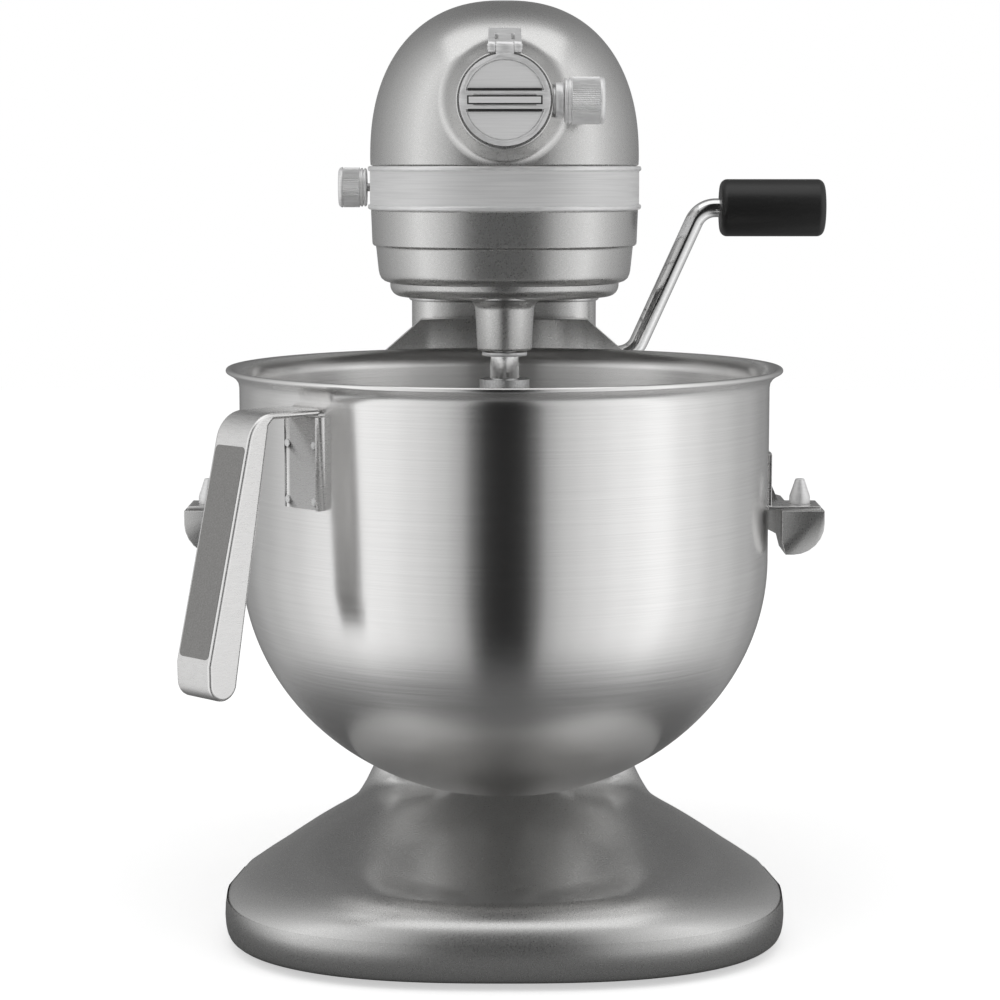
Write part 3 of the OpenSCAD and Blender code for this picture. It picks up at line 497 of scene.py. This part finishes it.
def upper_housing():
    shell = head_shell("head_dome", True)
    hole = [(0, -20 * MM), (hub_r, -20 * MM), (hub_r, 60 * MM), (0, 60 * MM)]
    carve(shell, lathe("hub_cut", hole, 96, along_y(0, hub_y, hub_z)))
    carve(shell, block("back_cut", (-far, split_y, band_hi), (far, far + split_y, far + band_hi)))
    carve(shell, speed_slot())
    add(shell, "stand", "silver_paint", replaced=["upper_housing"])


def hub_boss():
    """Raised collar of the casting round the hub, blended into the nose with a fillet."""
    ring_r = hub_r + 1.6 * MM
    front = hub_y + 4 * MM
    blend = 9 * MM
    edge = 0.8 * MM
    radii = [hub_r + 0.15 * MM, hub_r + 0.9 * MM] + [r for r, _ in arc(ring_r - edge, 0, edge, 90, 0, 4)]
    lifts = [0.0, 0.0] + [edge * (1 - math.sin(math.radians(90 - 22.5 * i))) for i in range(5)]
    fall = [i / 16 for i in range(17)]
    radii += [ring_r + blend * u for u in fall]
    count = 160
    rings = []
    for k, r in enumerate(radii):
        ring = []
        for i in range(count):
            t = 2 * math.pi * i / count
            x, z = r * math.cos(t), hub_z + r * math.sin(t)
            skin_y = dome_front(x, max(z, dome_z))
            if k < len(lifts):
                y = min(front + lifts[k], skin_y - 0.1 * MM)
            else:
                u = fall[k - len(lifts)]
                y = skin_y + (min(front + edge, skin_y) - skin_y) * (1 - u) ** 3.2 + 0.05 * MM * u
            ring.append((x, y, z))
        rings.append(ring)
    back = [(x, y + 3 * MM, z) for x, y, z in rings[-1]]
    inner = [(x, back[i][1], z) for i, (x, _, z) in enumerate(rings[0])]
    boss = skin("hub_boss", [inner] + rings + [back], loop=True, angle=50)
    add(boss, "stand", "silver_paint")


def rear_cover():
    cover = head_shell("rear_shell", False)
    gap = 0.3 * MM
    keep = block("keep", (-far, split_y + gap, band_hi), (far, far + split_y, far + band_hi))
    carve(cover, keep, "INTERSECT")
    pitch, half = 8 * MM, 1.5 * MM
    for i in range(-4, 5):
        x = i * pitch
        carve(cover, block("vent", (x - half, tail_y - 22 * MM, dome_z + 6 * MM),
                           (x + half, tail_y + 20 * MM, dome_z + 32 * MM)))
    screw_z = dome_z + 42 * MM
    screw_y = head_yc + (tail_y - head_yc) * round_off((screw_z - dome_z) / dome_h, along_curve)
    well_r = 4.3 * MM
    well = [(0, -4 * MM), (well_r, -4 * MM), (well_r, 10 * MM), (0, 10 * MM)]
    carve(cover, lathe("well", well, 48, along_y(0, screw_y, screw_z)))
    add(cover, "stand", "silver_paint", replaced=["rear_cover"])


def lower_housing():
    height = band_lo - head_lo
    step = head_lo + height * 0.5
    outer = [(-9.5, head_lo), (-7.4, head_lo + 0.15 * MM), (-5.8, head_lo + 0.7 * MM),
             (-4.6, head_lo + 1.7 * MM), (-3.9, head_lo + 3.2 * MM), (-3.5, head_lo + 5 * MM),
             (-2.5, step - 1.2 * MM), (-2.35, step - 0.35 * MM),
             (-2.1, step), (-1.3, step + 0.25 * MM), (-0.85, step + 0.8 * MM), (-0.75, step + 1.8 * MM),
             (-0.25, band_lo - 0.5 * MM), (-0.6, band_lo)]
    floor_top = head_lo + 4 * MM
    inner = [(-7.6, band_lo), (-7.6, floor_top)]
    rings = [at_z(head_plan(d * MM), z) for d, z in outer + inner]
    body = skin("gearcase", rings + [at_z(head_plan(-30 * MM), floor_top)], angle=28)
    ring_out = 53.04 * MM
    seat_z = floor_top + 0.01 * MM
    carve(body, lathe("ring_seat", [(0, seat_z), (ring_out, seat_z), (ring_out, band_hi), (0, band_hi)], 128))
    opening_r = disc_r - 1 * MM
    through = (head_lo - 10 * MM, head_lo + 10 * MM)
    carve(body, lathe("opening", [(0, through[0]), (opening_r, through[0]),
                                  (opening_r, through[1]), (0, through[1])], 128))
    foot_steps = [(1.2, neck_top), (0.3, neck_top + 0.3 * MM), (0, neck_top + 1.2 * MM),
                  (0, head_lo - 2.5 * MM), (-0.8, head_lo - 1.2 * MM), (-2.4, head_lo + 0.6 * MM)]
    foot_lip = 1.6 * MM
    foot = skin("gearcase_foot", [at_z(column_plan(neck_top + 0.2, foot_lip - e * MM), z) for e, z in foot_steps])
    add(body, "stand", "silver_paint", replaced=["lower_housing"])
    add(foot, "stand", "silver_paint")


def trim_band():
    bead = 1.1
    height = (band_hi - band_lo) / MM
    fill = 0.2
    edge = [(0.0, 0.0), (0.55, 0.08), (0.95, 0.4), (bead, 0.95), (bead, 1.45), (0.9, 1.95), (0.45, 2.2),
            (fill, 2.3)]
    profile = edge + [(fill, height / 2)] + [(d, height - z) for d, z in edge[::-1]]
    profile += [(-1.7, height), (-1.7, 0.0)]
    rings = [at_z(head_plan(d * MM), band_lo + z * MM) for d, z in profile]
    band = skin("head_band", rings, loop=True, angle=40)
    carve(band, speed_slot(), angle=40)
    add(band, "stand", "bright_trim", replaced=["trim_band"])
    band.data.materials.append(band_fill)
    recess = (band_lo + 2.4 * MM, band_hi - 2.4 * MM)
    for face in band.data.polygons:
        if recess[0] < face.center.z < recess[1]:
            face.material_index = 1


# ---- Base and column ----


def column_plan(z, d, count=200):
    f = math.exp((pad_z - z) / (18 * MM))
    half = (col_back - col_front) / 2
    front, back = half + 10 * MM * f + d, half + 5 * MM * f + d
    return oval(col_hw + 6 * MM * f + d, front, back, 4.5, 3.2, col_yc, count)


def base_plan(d, count=320):
    points = oval(base_hw + d, base_reach + base_yc + d, base_back - base_yc + d, 2.6, 4.2, base_yc, count)
    length = 0.62 * (base_back - base_yc)
    return [(x * (1 - 0.38 * smooth((y - base_yc) / length)), y) for x, y in points]


def base_top(x, y):
    dish = 1 - smooth((math.hypot(x / 0.74 / base_hw, (y + 4 * MM) / 0.92 / base_reach) - 0.5) / 0.5)
    crown = smooth((abs(x) / base_hw - 0.42) / 0.58) * 5 * MM * smooth((90 * MM - y) / (60 * MM))
    near = math.hypot(max(0, abs(x) - col_hw - 4 * MM), max(0, col_front - 9 * MM - y, y - col_back - 2 * MM))
    rise = (pad_z - base_h + 4 * MM) * math.exp(-(near / (13 * MM)) ** 2)
    return min(pad_z, base_h - 7 * MM * dish - crown + rise)


def base_casting():
    wall = 4.6 * MM
    shoulder = 24 * MM
    side_top = 17 * MM
    mid_y = 60 * MM
    inset = -0.8 * MM - shoulder

    def top_ring(s, d, drop=0.0):
        ring = []
        for px, py in base_plan(d):
            x, y = px * s, mid_y + (py - mid_y) * s
            ring.append((x, y, base_top(x, y) - drop))
        return ring

    side = [at_z(base_plan(d * MM), base_foot + z * MM) for d, z in
            ((-3.2, 0), (-2.2, 0.4), (-1.3, 1.2), (-0.7, 2.6), (-0.3, 4.6), (0, 8.5), (-0.2, 13), (-0.8, 17))]
    edge = []
    for k in range(1, 19):
        t = math.radians(5 * k)
        ring = top_ring(1, -0.8 * MM - shoulder * (1 - math.cos(t)))
        edge.append([(x, y, side_top + (z - side_top) * math.sin(t)) for x, y, z in ring])
    crown = [top_ring(1 - i / 60, inset) for i in range(1, 60)]
    under = [top_ring(s, inset, wall) for s in (0.15, 0.4, 0.65, 0.85)]
    inside = [at_z(base_plan(-13.2 * MM), 20 * MM), at_z(base_plan(-6.1 * MM), base_foot + 2 * MM),
              at_z(base_plan(-6.1 * MM), base_foot)]
    body = skin("base_shell", under + inside + side + edge + crown, angle=40)
    add(body, "stand", "silver_paint", replaced=["base_casting"])


def column_casting():
    flange_lo = neck_top - 6 * MM
    levels = [pad_z + 90 * MM * (i / 16) ** 1.6 for i in range(17)]
    shaft = [at_z(column_plan(z, 0), z) for z in levels] + [at_z(column_plan(flange_lo, 0), flange_lo)]
    lip = [at_z(column_plan(flange_lo, d * MM), z) for d, z in
           ((0.9, flange_lo + 0.2 * MM), (1.45, flange_lo + 0.8 * MM), (1.6, flange_lo + 1.6 * MM),
            (1.6, neck_top - 0.9 * MM), (1.3, neck_top - 0.3 * MM), (0.7, neck_top))]
    body = skin("column_shell", shaft + lip, angle=40)
    rail = block("rail", (-14 * MM, col_front - 5 * MM, 150 * MM),
                 (14 * MM, col_front + 8 * MM, flange_lo - 6 * MM))
    carve(body, rail, "UNION", angle=40)
    carve(body, block("hollow", (8 * MM - col_hw, col_front + 8 * MM, pad_z + 12 * MM),
                      (col_hw - 8 * MM, col_back - 10 * MM, neck_top + 9 * MM)), angle=40)
    slot_lo = low("lift_bracket", Z) - 36 * MM
    carve(body, block("lift_slot", (-4.2 * MM, col_front - 20 * MM, slot_lo),
                      (4.2 * MM, col_front + 20 * MM, high("lift_bracket", Z) + 1.5 * MM)), angle=40)
    add(body, "stand", "silver_paint", replaced=["column_casting"])


# ---- Attachment hub and knobs ----


def hub_cover():
    """Cast cover: two sunk brushed segments, and a bar between gaps laid with near-black sheets of painted shade,
    with a plain plate outlined in painted shade.
    """
    bar = 3.8 * MM
    plate = 3.3 * MM
    depth = 1.1 * MM
    rim = hub_r - 2.2 * MM
    for s in (-1, 1):
        start = math.degrees(math.asin((bar + 0.9 * MM) / (rim - 0.5 * MM)))
        outline = arc(0, 0, rim - 0.5 * MM, start, 180 - start, 40)
        flat = extruded("cover_segment_%s" % ("low" if s < 0 else "high"), outline, 0.5 * MM,
                        Matrix.Translation((0, hub_y - plate + depth - 0.2 * MM, hub_z))
                        @ Matrix.Rotation(math.radians(90), 4, "X") @ Matrix.Scale(s, 4, (0, 1, 0)))
        if s < 0:
            flat.data.flip_normals()
        round_edges(flat, 0.15 * MM, 2)
        add(flat, "hub_cover", "bright_trim", cover_fill)

    def strip(name, half_w, lo, hi, sunk, material, slot):
        outline = [(-half_w, lo), (half_w, lo), (half_w, hi), (-half_w, hi)]
        piece = extruded(name, outline, 0.5 * MM, Matrix.Translation((0, hub_y - plate + sunk, hub_z))
                         @ Matrix.Rotation(math.radians(90), 4, "X"))
        round_edges(piece, 0.15 * MM, 2)
        add(piece, "hub_cover", slot, material)

    # The near-black sheets below are painted shade. They sit in the gaps either side of the bar and behind the
    # plate's edge, and they are not a dark part of the cover.
    shade_strip_sunk, plate_sunk = 0.22 * MM, 0.14 * MM
    for side in (-1, 1):
        edges = sorted((side * (bar - 0.2 * MM), side * (bar + 1.0 * MM)))
        strip("cover_gap_shade_%s" % ("low" if side < 0 else "high"), rim - 1.4 * MM, edges[0], edges[1],
              shade_strip_sunk, gap_shade_paint, "black_plastic")
    strip("cover_outline_shade", 15.6 * MM, -1.9 * MM, 1.9 * MM, shade_strip_sunk, gap_shade_paint, "black_plastic")
    strip("cover_plate", 14.9 * MM, -1.3 * MM, 1.3 * MM, plate_sunk, cover_fill, "bright_trim")


def knurled(name, r, length, place, ribs):
    """Knob turned about Z: grooved collar, fine straight knurls, and a smooth rounded end."""
    steps = ribs * 4
    rib_depth = 0.34 * MM
    e = 1.8 * MM
    collar = [(0.0, 2.4), (0.0, 1.0), (0.5, 0.5), (1.0, 0.5), (1.3, 1.1), (1.6, 1.1),
              (1.9, 0.4), (2.5, 0.4), (2.8, 0.9), (3.1, 0.9)]
    stations = [(z * MM, r - inset * MM, 0) for z, inset in collar]
    stations += [(3.3 * MM, r - 0.1 * MM, 1), (length - e - 0.5 * MM, r - 0.1 * MM, 1),
                 (length - e - 0.3 * MM, r - 0.5 * MM, 0)]
    stations += [(length - e + z, radius, 0) for radius, z in arc(r - e, 0, e, 0, 82, 7)]
    stations += [(length - 0.1 * MM, r * 0.55, 0)]
    rings = []
    for z, radius, depth in stations:
        ring = []
        for i in range(steps):
            t = 2 * math.pi * i / steps
            dip = rib_depth * depth * (0.0, 0.5, 1.0, 0.5)[i % 4]
            ring.append(((radius - dip) * math.cos(t), (radius - dip) * math.sin(t), z))
        rings.append(ring)
    knob = skin(name, rings, angle=28)
    knob.data.transform(place)
    return knob


def knobs():
    x0 = low("hub_knob", X)
    y = (low("hub_knob", Y) + high("hub_knob", Y)) / 2
    r = (high("hub_knob", Y) - low("hub_knob", Y)) / 2
    hub_knob = knurled("hub_knob_turned", r, high("hub_knob", X) - x0, along_x(x0, y, hub_z), 72)
    add(hub_knob, "hub_knob", "bright_trim", replaced=["hub_knob"])
    x0 = high("speed_knob", X)
    y = (low("speed_knob", Y) + high("speed_knob", Y)) / 2
    z = (low("speed_knob", Z) + high("speed_knob", Z)) / 2
    r = (high("speed_knob", Y) - low("speed_knob", Y)) / 2
    speed = knurled("speed_knob_turned", r, x0 - low("speed_knob", X),
                    Matrix.Translation((x0, y, z)) @ Matrix.Rotation(math.radians(-90), 4, "Y"), 64)
    add(speed, "speed_control", "bright_trim", replaced=["speed_knob"])


# ---- Planetary ----


def planetary():
    top = head_lo - 0.5 * MM
    corner = 5 * MM
    web_top = head_lo + 4 * MM
    disc = [(0, disc_z), (9 * MM, disc_z), (disc_r - corner - 0.5 * MM, disc_z)]
    disc += arc(disc_r - corner, disc_z + corner, corner, -90, 0, 12)
    disc += [(disc_r, top), (centre_hub, top), (centre_hub, web_top), (0, web_top)]
    plate = lathe("planetary_disc", disc, 160)
    add(plate, "planetary", "silver_paint", replaced=["planetary_housing"])
    wide = 17.5 * MM
    turns = [math.radians(a) for a in range(0, 91, 10)]
    fillet = [(wide - 4.6 * MM * math.sin(t), disc_z + 0.2 * MM - 4.8 * MM * (1 - math.cos(t)))
              for t in turns]
    boss = [(9 * MM, disc_z + 2 * MM), (wide, disc_z + 2 * MM)] + fillet
    boss += [(12.0 * MM, boss_z + 1.2 * MM)] + arc(11.0 * MM, boss_z + 1 * MM, 1 * MM, 0, -90, 5)
    boss += [(9 * MM, boss_z)]
    shape = lathe("planetary_boss", boss[::-1], 96, Matrix.Translation((0, -orbit, 0)))
    add(shape, "planetary", "silver_paint")


# ---- Bowl ----


def bowl_profile():
    depth = knuckle_z - floor_z
    foot = 40 * MM
    last = math.acos(foot / bowl_r)
    turns = [last * i / 60 for i in range(61)]
    outer = [(bowl_r * math.cos(t), knuckle_z - depth * math.sin(t) / math.sin(last)) for t in turns]
    inner = []
    for r, z in outer:
        v = (knuckle_z - z) / depth
        inner.append((r - bowl_wall * (1 - 0.3 * v), z + bowl_wall * v))
    flare = rim_r - bowl_r
    out_edge = [(bowl_r, rim_z - 9 * MM), (bowl_r + 0.4 * MM, rim_z - 6.6 * MM),
                (bowl_r + flare * 0.3, rim_z - 4.6 * MM), (bowl_r + flare * 0.62, rim_z - 3.2 * MM),
                (rim_r - 0.9 * MM, rim_z - 2.5 * MM)]
    lip = arc(rim_r - 1.2 * MM, rim_z - 1.3 * MM, 1.2 * MM, -70, 90, 8)
    in_edge = [(bowl_r + flare * 0.5, rim_z - 0.5 * MM), (bowl_r + flare * 0.2, rim_z - 2.4 * MM),
               (bowl_r - bowl_wall + 0.35 * MM, rim_z - 5.4 * MM), (bowl_r - bowl_wall, rim_z - 9 * MM)]
    dimple = 4 * MM
    under = [(foot - 1.4 * MM, floor_z), (foot - 3.4 * MM, floor_z + 0.1 * MM),
             (foot - 6 * MM, floor_z + 1.2 * MM),
             (foot - 10 * MM, floor_z + dimple - 0.4 * MM), (foot - 13 * MM, floor_z + dimple)]
    base = [(0, floor_z + dimple + bowl_wall), (foot - 13 * MM, floor_z + dimple + bowl_wall)]
    inside = base + inner[::-1] + in_edge[::-1]
    return inside + lip[::-1] + out_edge[::-1] + outer + under + [(0, floor_z + dimple)]


def bowl():
    shell = lathe("bowl_spun", bowl_profile(), 256, angle=60)
    add(shell, "bowl", "bowl_steel", replaced=["bowl"])


def bowl_handle():
    """Folded steel handle: a thin strap off the bowl, a closed box grip, and a plain etched panel."""
    r0 = bowl_r + 0.4 * MM
    out = bowl_r + handle_out
    top = rim_z - 11.4 * MM
    slant, drop, thick, bend, strap = 22 * MM, 88 * MM, 11 * MM, 14 * MM, 3 * MM
    mid = (out + slant - 7.6 * MM, top - bend - drop - 8 * MM)
    outline = [(r0, top)] + arc(out - bend, top - bend, bend, 90, 12, 14)
    outline += [(out + slant, top - bend - drop)] + arc(mid[0], mid[1], 7.4 * MM, 0, -180, 20)
    outline += [(out - thick - 0.5 * MM, top - strap - 2.4 * MM), (out - thick - 3 * MM, top - strap),
                (r0, top - strap)]
    place = Matrix.Rotation(handle_turn, 4, "Z") @ Matrix.Rotation(math.radians(90), 4, "X")
    grip = extruded("bowl_grip", outline[::-1], handle_w, place)
    round_edges(grip, 1.5 * MM, 4, 50)
    add(grip, "bowl", "bowl_steel", sheet, replaced=["bowl_handle"])
    start = arc(out - bend, top - bend, bend, 12, 12, 1)[0]
    end = (out + slant, top - bend - drop)
    face = math.dist(start, end)
    lean = math.atan2(end[0] - start[0], start[1] - end[1])
    length, width, corner = face - 5 * MM, handle_w - 3.4 * MM, 2 * MM
    centre = ((start[0] + end[0]) / 2, (start[1] + end[1]) / 2)
    panel = []
    for sx, sy, a in ((1, -1, -90), (1, 1, 0), (-1, 1, 90), (-1, -1, 180)):
        panel += arc(sx * (length / 2 - corner), sy * (width / 2 - corner), corner, a, a + 90, 6)
    frame_of = (Matrix.Rotation(handle_turn, 4, "Z") @ Matrix.Translation((centre[0], 0, centre[1]))
                @ Matrix.Rotation(-lean, 4, "Y") @ Matrix.Rotation(math.radians(90), 4, "Y"))
    plate = extruded("handle_panel", panel, 0.24 * MM, frame_of)
    add(plate, "bowl", "bowl_steel", etched)


# ---- Lever ----


def lever_grip():
    length = grip_x1 - grip_x0
    e = 3.6 * MM
    profile = [(0, 0), (6 * MM, 0)] + arc(grip_r - e, e, e, -90, 0, 8)
    profile += arc(grip_r - e, length - 0.6 * MM - e, e, 0, 82, 8)
    profile += [(grip_r * 0.4, length - 0.1 * MM), (0, length)]
    grip = lathe("grip_moulding", profile, 96, along_x(grip_x0, lever_y, lever_top))
    add(grip, "lever", "black_grip", replaced=["lever_grip"])


def lever_rod():
    """Polished rod with two soft bends, swept in one piece."""
    rod_r = 4.75 * MM
    x0, x1, z0 = 66 * MM, 100 * MM, 248 * MM
    lean = math.atan2(lever_top - z0, x1 - x0)
    bend = 12 * MM
    lead = bend * math.tan(lean / 2)
    steps = [lean * i / 16 for i in range(17)]
    route = [(10.5 * MM, z0, 0.0), (30 * MM, z0, 0.0)]
    route += [(x0 - lead + bend * math.sin(t), z0 + bend * (1 - math.cos(t)), t) for t in steps]
    route += [(x1 + lead - bend * math.sin(lean - t), lever_top - bend * (1 - math.cos(lean - t)), lean - t)
              for t in steps]
    route += [(x1 + lead + 10 * MM, lever_top, 0.0), (x1 + 29.5 * MM, lever_top, 0.0)]
    rings = []
    for x, z, t in route:
        ring = []
        for i in range(56):
            a = 2 * math.pi * i / 56
            up = rod_r * math.sin(a)
            ring.append((x - up * math.sin(t), lever_y + rod_r * math.cos(a), z + up * math.cos(t)))
        rings.append(ring)
    rod = skin("lever_tube", rings, angle=50)
    add(rod, "lever", "polished_rod", replaced=["lever_rod"])


column_casting()
base_casting()
lower_housing()
upper_housing()
hub_boss()
rear_cover()
trim_band()
hub_cover()
knobs()
planetary()
bowl()
bowl_handle()
lever_grip()
lever_rod()

for node_name in ("yoke", "hub_cover", "hub_hinge_bracket", "bowl_brackets", "locating_pins", "flat_beater",
                  "hub_screw_collar", "hub_barrel", "shaft_washer", "lever_bush", "handle_bracket",
                  "bowl_studs"):
    round_edges(nodes[node_name], (0.8 if node_name in ("yoke", "flat_beater") else 0.3) * MM, 2, 40)


# ---- Stage, light and camera ----


def stage():
    """Pale floor that the camera sees; other rays meet a dull patch under the object and nothing past it."""
    size = 3.0
    corners = [(-size, -size, 0), (size, -size, 0), (size, size, 0), (-size, size, 0)]
    floor = new_object("floor", corners, [(0, 1, 2, 3)])
    mat = bpy.data.materials.new("floor")
    mat.use_nodes = True
    tree = mat.node_tree
    tree.nodes.clear()
    out = tree.nodes.new("ShaderNodeOutputMaterial")
    matt = tree.nodes.new("ShaderNodeBsdfDiffuse")
    matt.inputs["Color"].default_value = (0.9, 0.9, 0.9, 1)
    glow = tree.nodes.new("ShaderNodeEmission")
    glow.inputs["Strength"].default_value = 0.52
    both = tree.nodes.new("ShaderNodeAddShader")
    dull = tree.nodes.new("ShaderNodeBsdfDiffuse")
    dull.inputs["Color"].default_value = (0.22, 0.22, 0.22, 1)
    pick = tree.nodes.new("ShaderNodeMixShader")
    ray = tree.nodes.new("ShaderNodeLightPath")
    tree.links.new(matt.outputs[0], both.inputs[0])
    tree.links.new(glow.outputs[0], both.inputs[1])
    place = tree.nodes.new("ShaderNodeTexCoord")
    reach = tree.nodes.new("ShaderNodeVectorMath")
    reach.operation = "LENGTH"
    fade = tree.nodes.new("ShaderNodeMapRange")
    fade.interpolation_type = "SMOOTHSTEP"
    fade.inputs["From Min"].default_value = 0.16
    fade.inputs["From Max"].default_value = 0.34
    clear = tree.nodes.new("ShaderNodeBsdfTransparent")
    past = tree.nodes.new("ShaderNodeMixShader")
    tree.links.new(place.outputs["Object"], reach.inputs[0])
    tree.links.new(reach.outputs["Value"], fade.inputs["Value"])
    tree.links.new(fade.outputs["Result"], past.inputs[0])
    tree.links.new(dull.outputs[0], past.inputs[1])
    tree.links.new(clear.outputs[0], past.inputs[2])
    tree.links.new(ray.outputs["Is Camera Ray"], pick.inputs[0])
    tree.links.new(past.outputs[0], pick.inputs[1])
    tree.links.new(both.outputs[0], pick.inputs[2])
    tree.links.new(pick.outputs[0], out.inputs["Surface"])
    floor.data.materials.append(mat)


def studio_world():
    """Bright at both sides, dark in front of the object and dim behind it; white to the camera."""
    world = bpy.data.worlds.new("studio")
    bpy.context.scene.world = world
    world.use_nodes = True
    tree = world.node_tree
    tree.nodes.clear()
    link = tree.links.new

    def math_node(operation, a, b=None):
        made = tree.nodes.new("ShaderNodeMath")
        made.operation = operation
        for socket, value in zip(made.inputs, (a, b)):
            if value is None:
                continue
            if isinstance(value, (int, float)):
                socket.default_value = value
            else:
                link(value, socket)
        return made.outputs[0]

    place = tree.nodes.new("ShaderNodeTexCoord")
    split = tree.nodes.new("ShaderNodeSeparateXYZ")
    link(place.outputs["Generated"], split.inputs[0])
    x, y, z = split.outputs
    turn = math_node("ARCTAN2", math_node("ABSOLUTE", x), math_node("MULTIPLY", y, -1.0))
    share = math_node("DIVIDE", turn, math.pi)
    ring = tree.nodes.new("ShaderNodeValToRGB")
    stops = [(0, 0.02), (8, 0.03), (13, 0.16), (19, 0.6), (27, 0.82), (38, 1.0), (52, 1.2), (70, 1.4),
             (86, 1.1), (104, 0.85), (126, 0.62), (150, 0.40), (168, 0.26), (180, 0.2)]
    peak = max(level for _, level in stops)
    ring.color_ramp.interpolation = "EASE"
    while len(ring.color_ramp.elements) < len(stops):
        ring.color_ramp.elements.new(0.5)
    for element, (angle, level) in zip(ring.color_ramp.elements, stops):
        element.position = angle / 180
        element.color = (level / peak,) * 3 + (1,)
    link(share, ring.inputs[0])
    around = math_node("MULTIPLY", ring.outputs[0], peak)
    up = tree.nodes.new("ShaderNodeMapRange")
    up.interpolation_type = "SMOOTHSTEP"
    up.inputs["From Min"].default_value = 0.72
    up.inputs["From Max"].default_value = 0.96
    link(z, up.inputs["Value"])
    mix = tree.nodes.new("ShaderNodeMix")
    mix.data_type = "FLOAT"
    link(up.outputs["Result"], mix.inputs[0])
    link(around, mix.inputs[2])
    mix.inputs[3].default_value = 0.6
    env = tree.nodes.new("ShaderNodeBackground")
    link(mix.outputs[0], env.inputs["Strength"])
    white = tree.nodes.new("ShaderNodeBackground")
    white.inputs["Color"].default_value = (1, 1, 1, 1)
    white.inputs["Strength"].default_value = 1.0
    ray = tree.nodes.new("ShaderNodeLightPath")
    pick = tree.nodes.new("ShaderNodeMixShader")
    link(ray.outputs["Is Camera Ray"], pick.inputs[0])
    link(env.outputs[0], pick.inputs[1])
    link(white.outputs[0], pick.inputs[2])
    out = tree.nodes.new("ShaderNodeOutputWorld")
    link(pick.outputs[0], out.inputs[0])


def softbox(name, where, target, size, power):
    data = bpy.data.lights.new(name, "AREA")
    data.shape = "RECTANGLE"
    data.size, data.size_y = size
    data.energy = power
    light = bpy.data.objects.new(name, data)
    light.location = where
    light.rotation_euler = (Vector(target) - Vector(where)).to_track_quat("-Z", "Y").to_euler()
    bpy.context.scene.collection.objects.link(light)


def camera():
    pitch_down = 6.95
    data = bpy.data.cameras.new("camera")
    data.lens = 98.28
    data.sensor_width = 36
    shot = bpy.data.objects.new("camera", data)
    shot.location = (-0.002, -1.233, 0.3435)
    shot.rotation_euler = (math.radians(90 - pitch_down), 0, 0)
    bpy.context.scene.collection.objects.link(shot)
    bpy.context.scene.camera = shot


stage()
studio_world()
softbox("top", (0, -0.1, 1.6), (0, 0.05, 0.3), (1.4, 1.2), 4)
camera()
bpy.context.scene.view_settings.view_transform = "Standard"
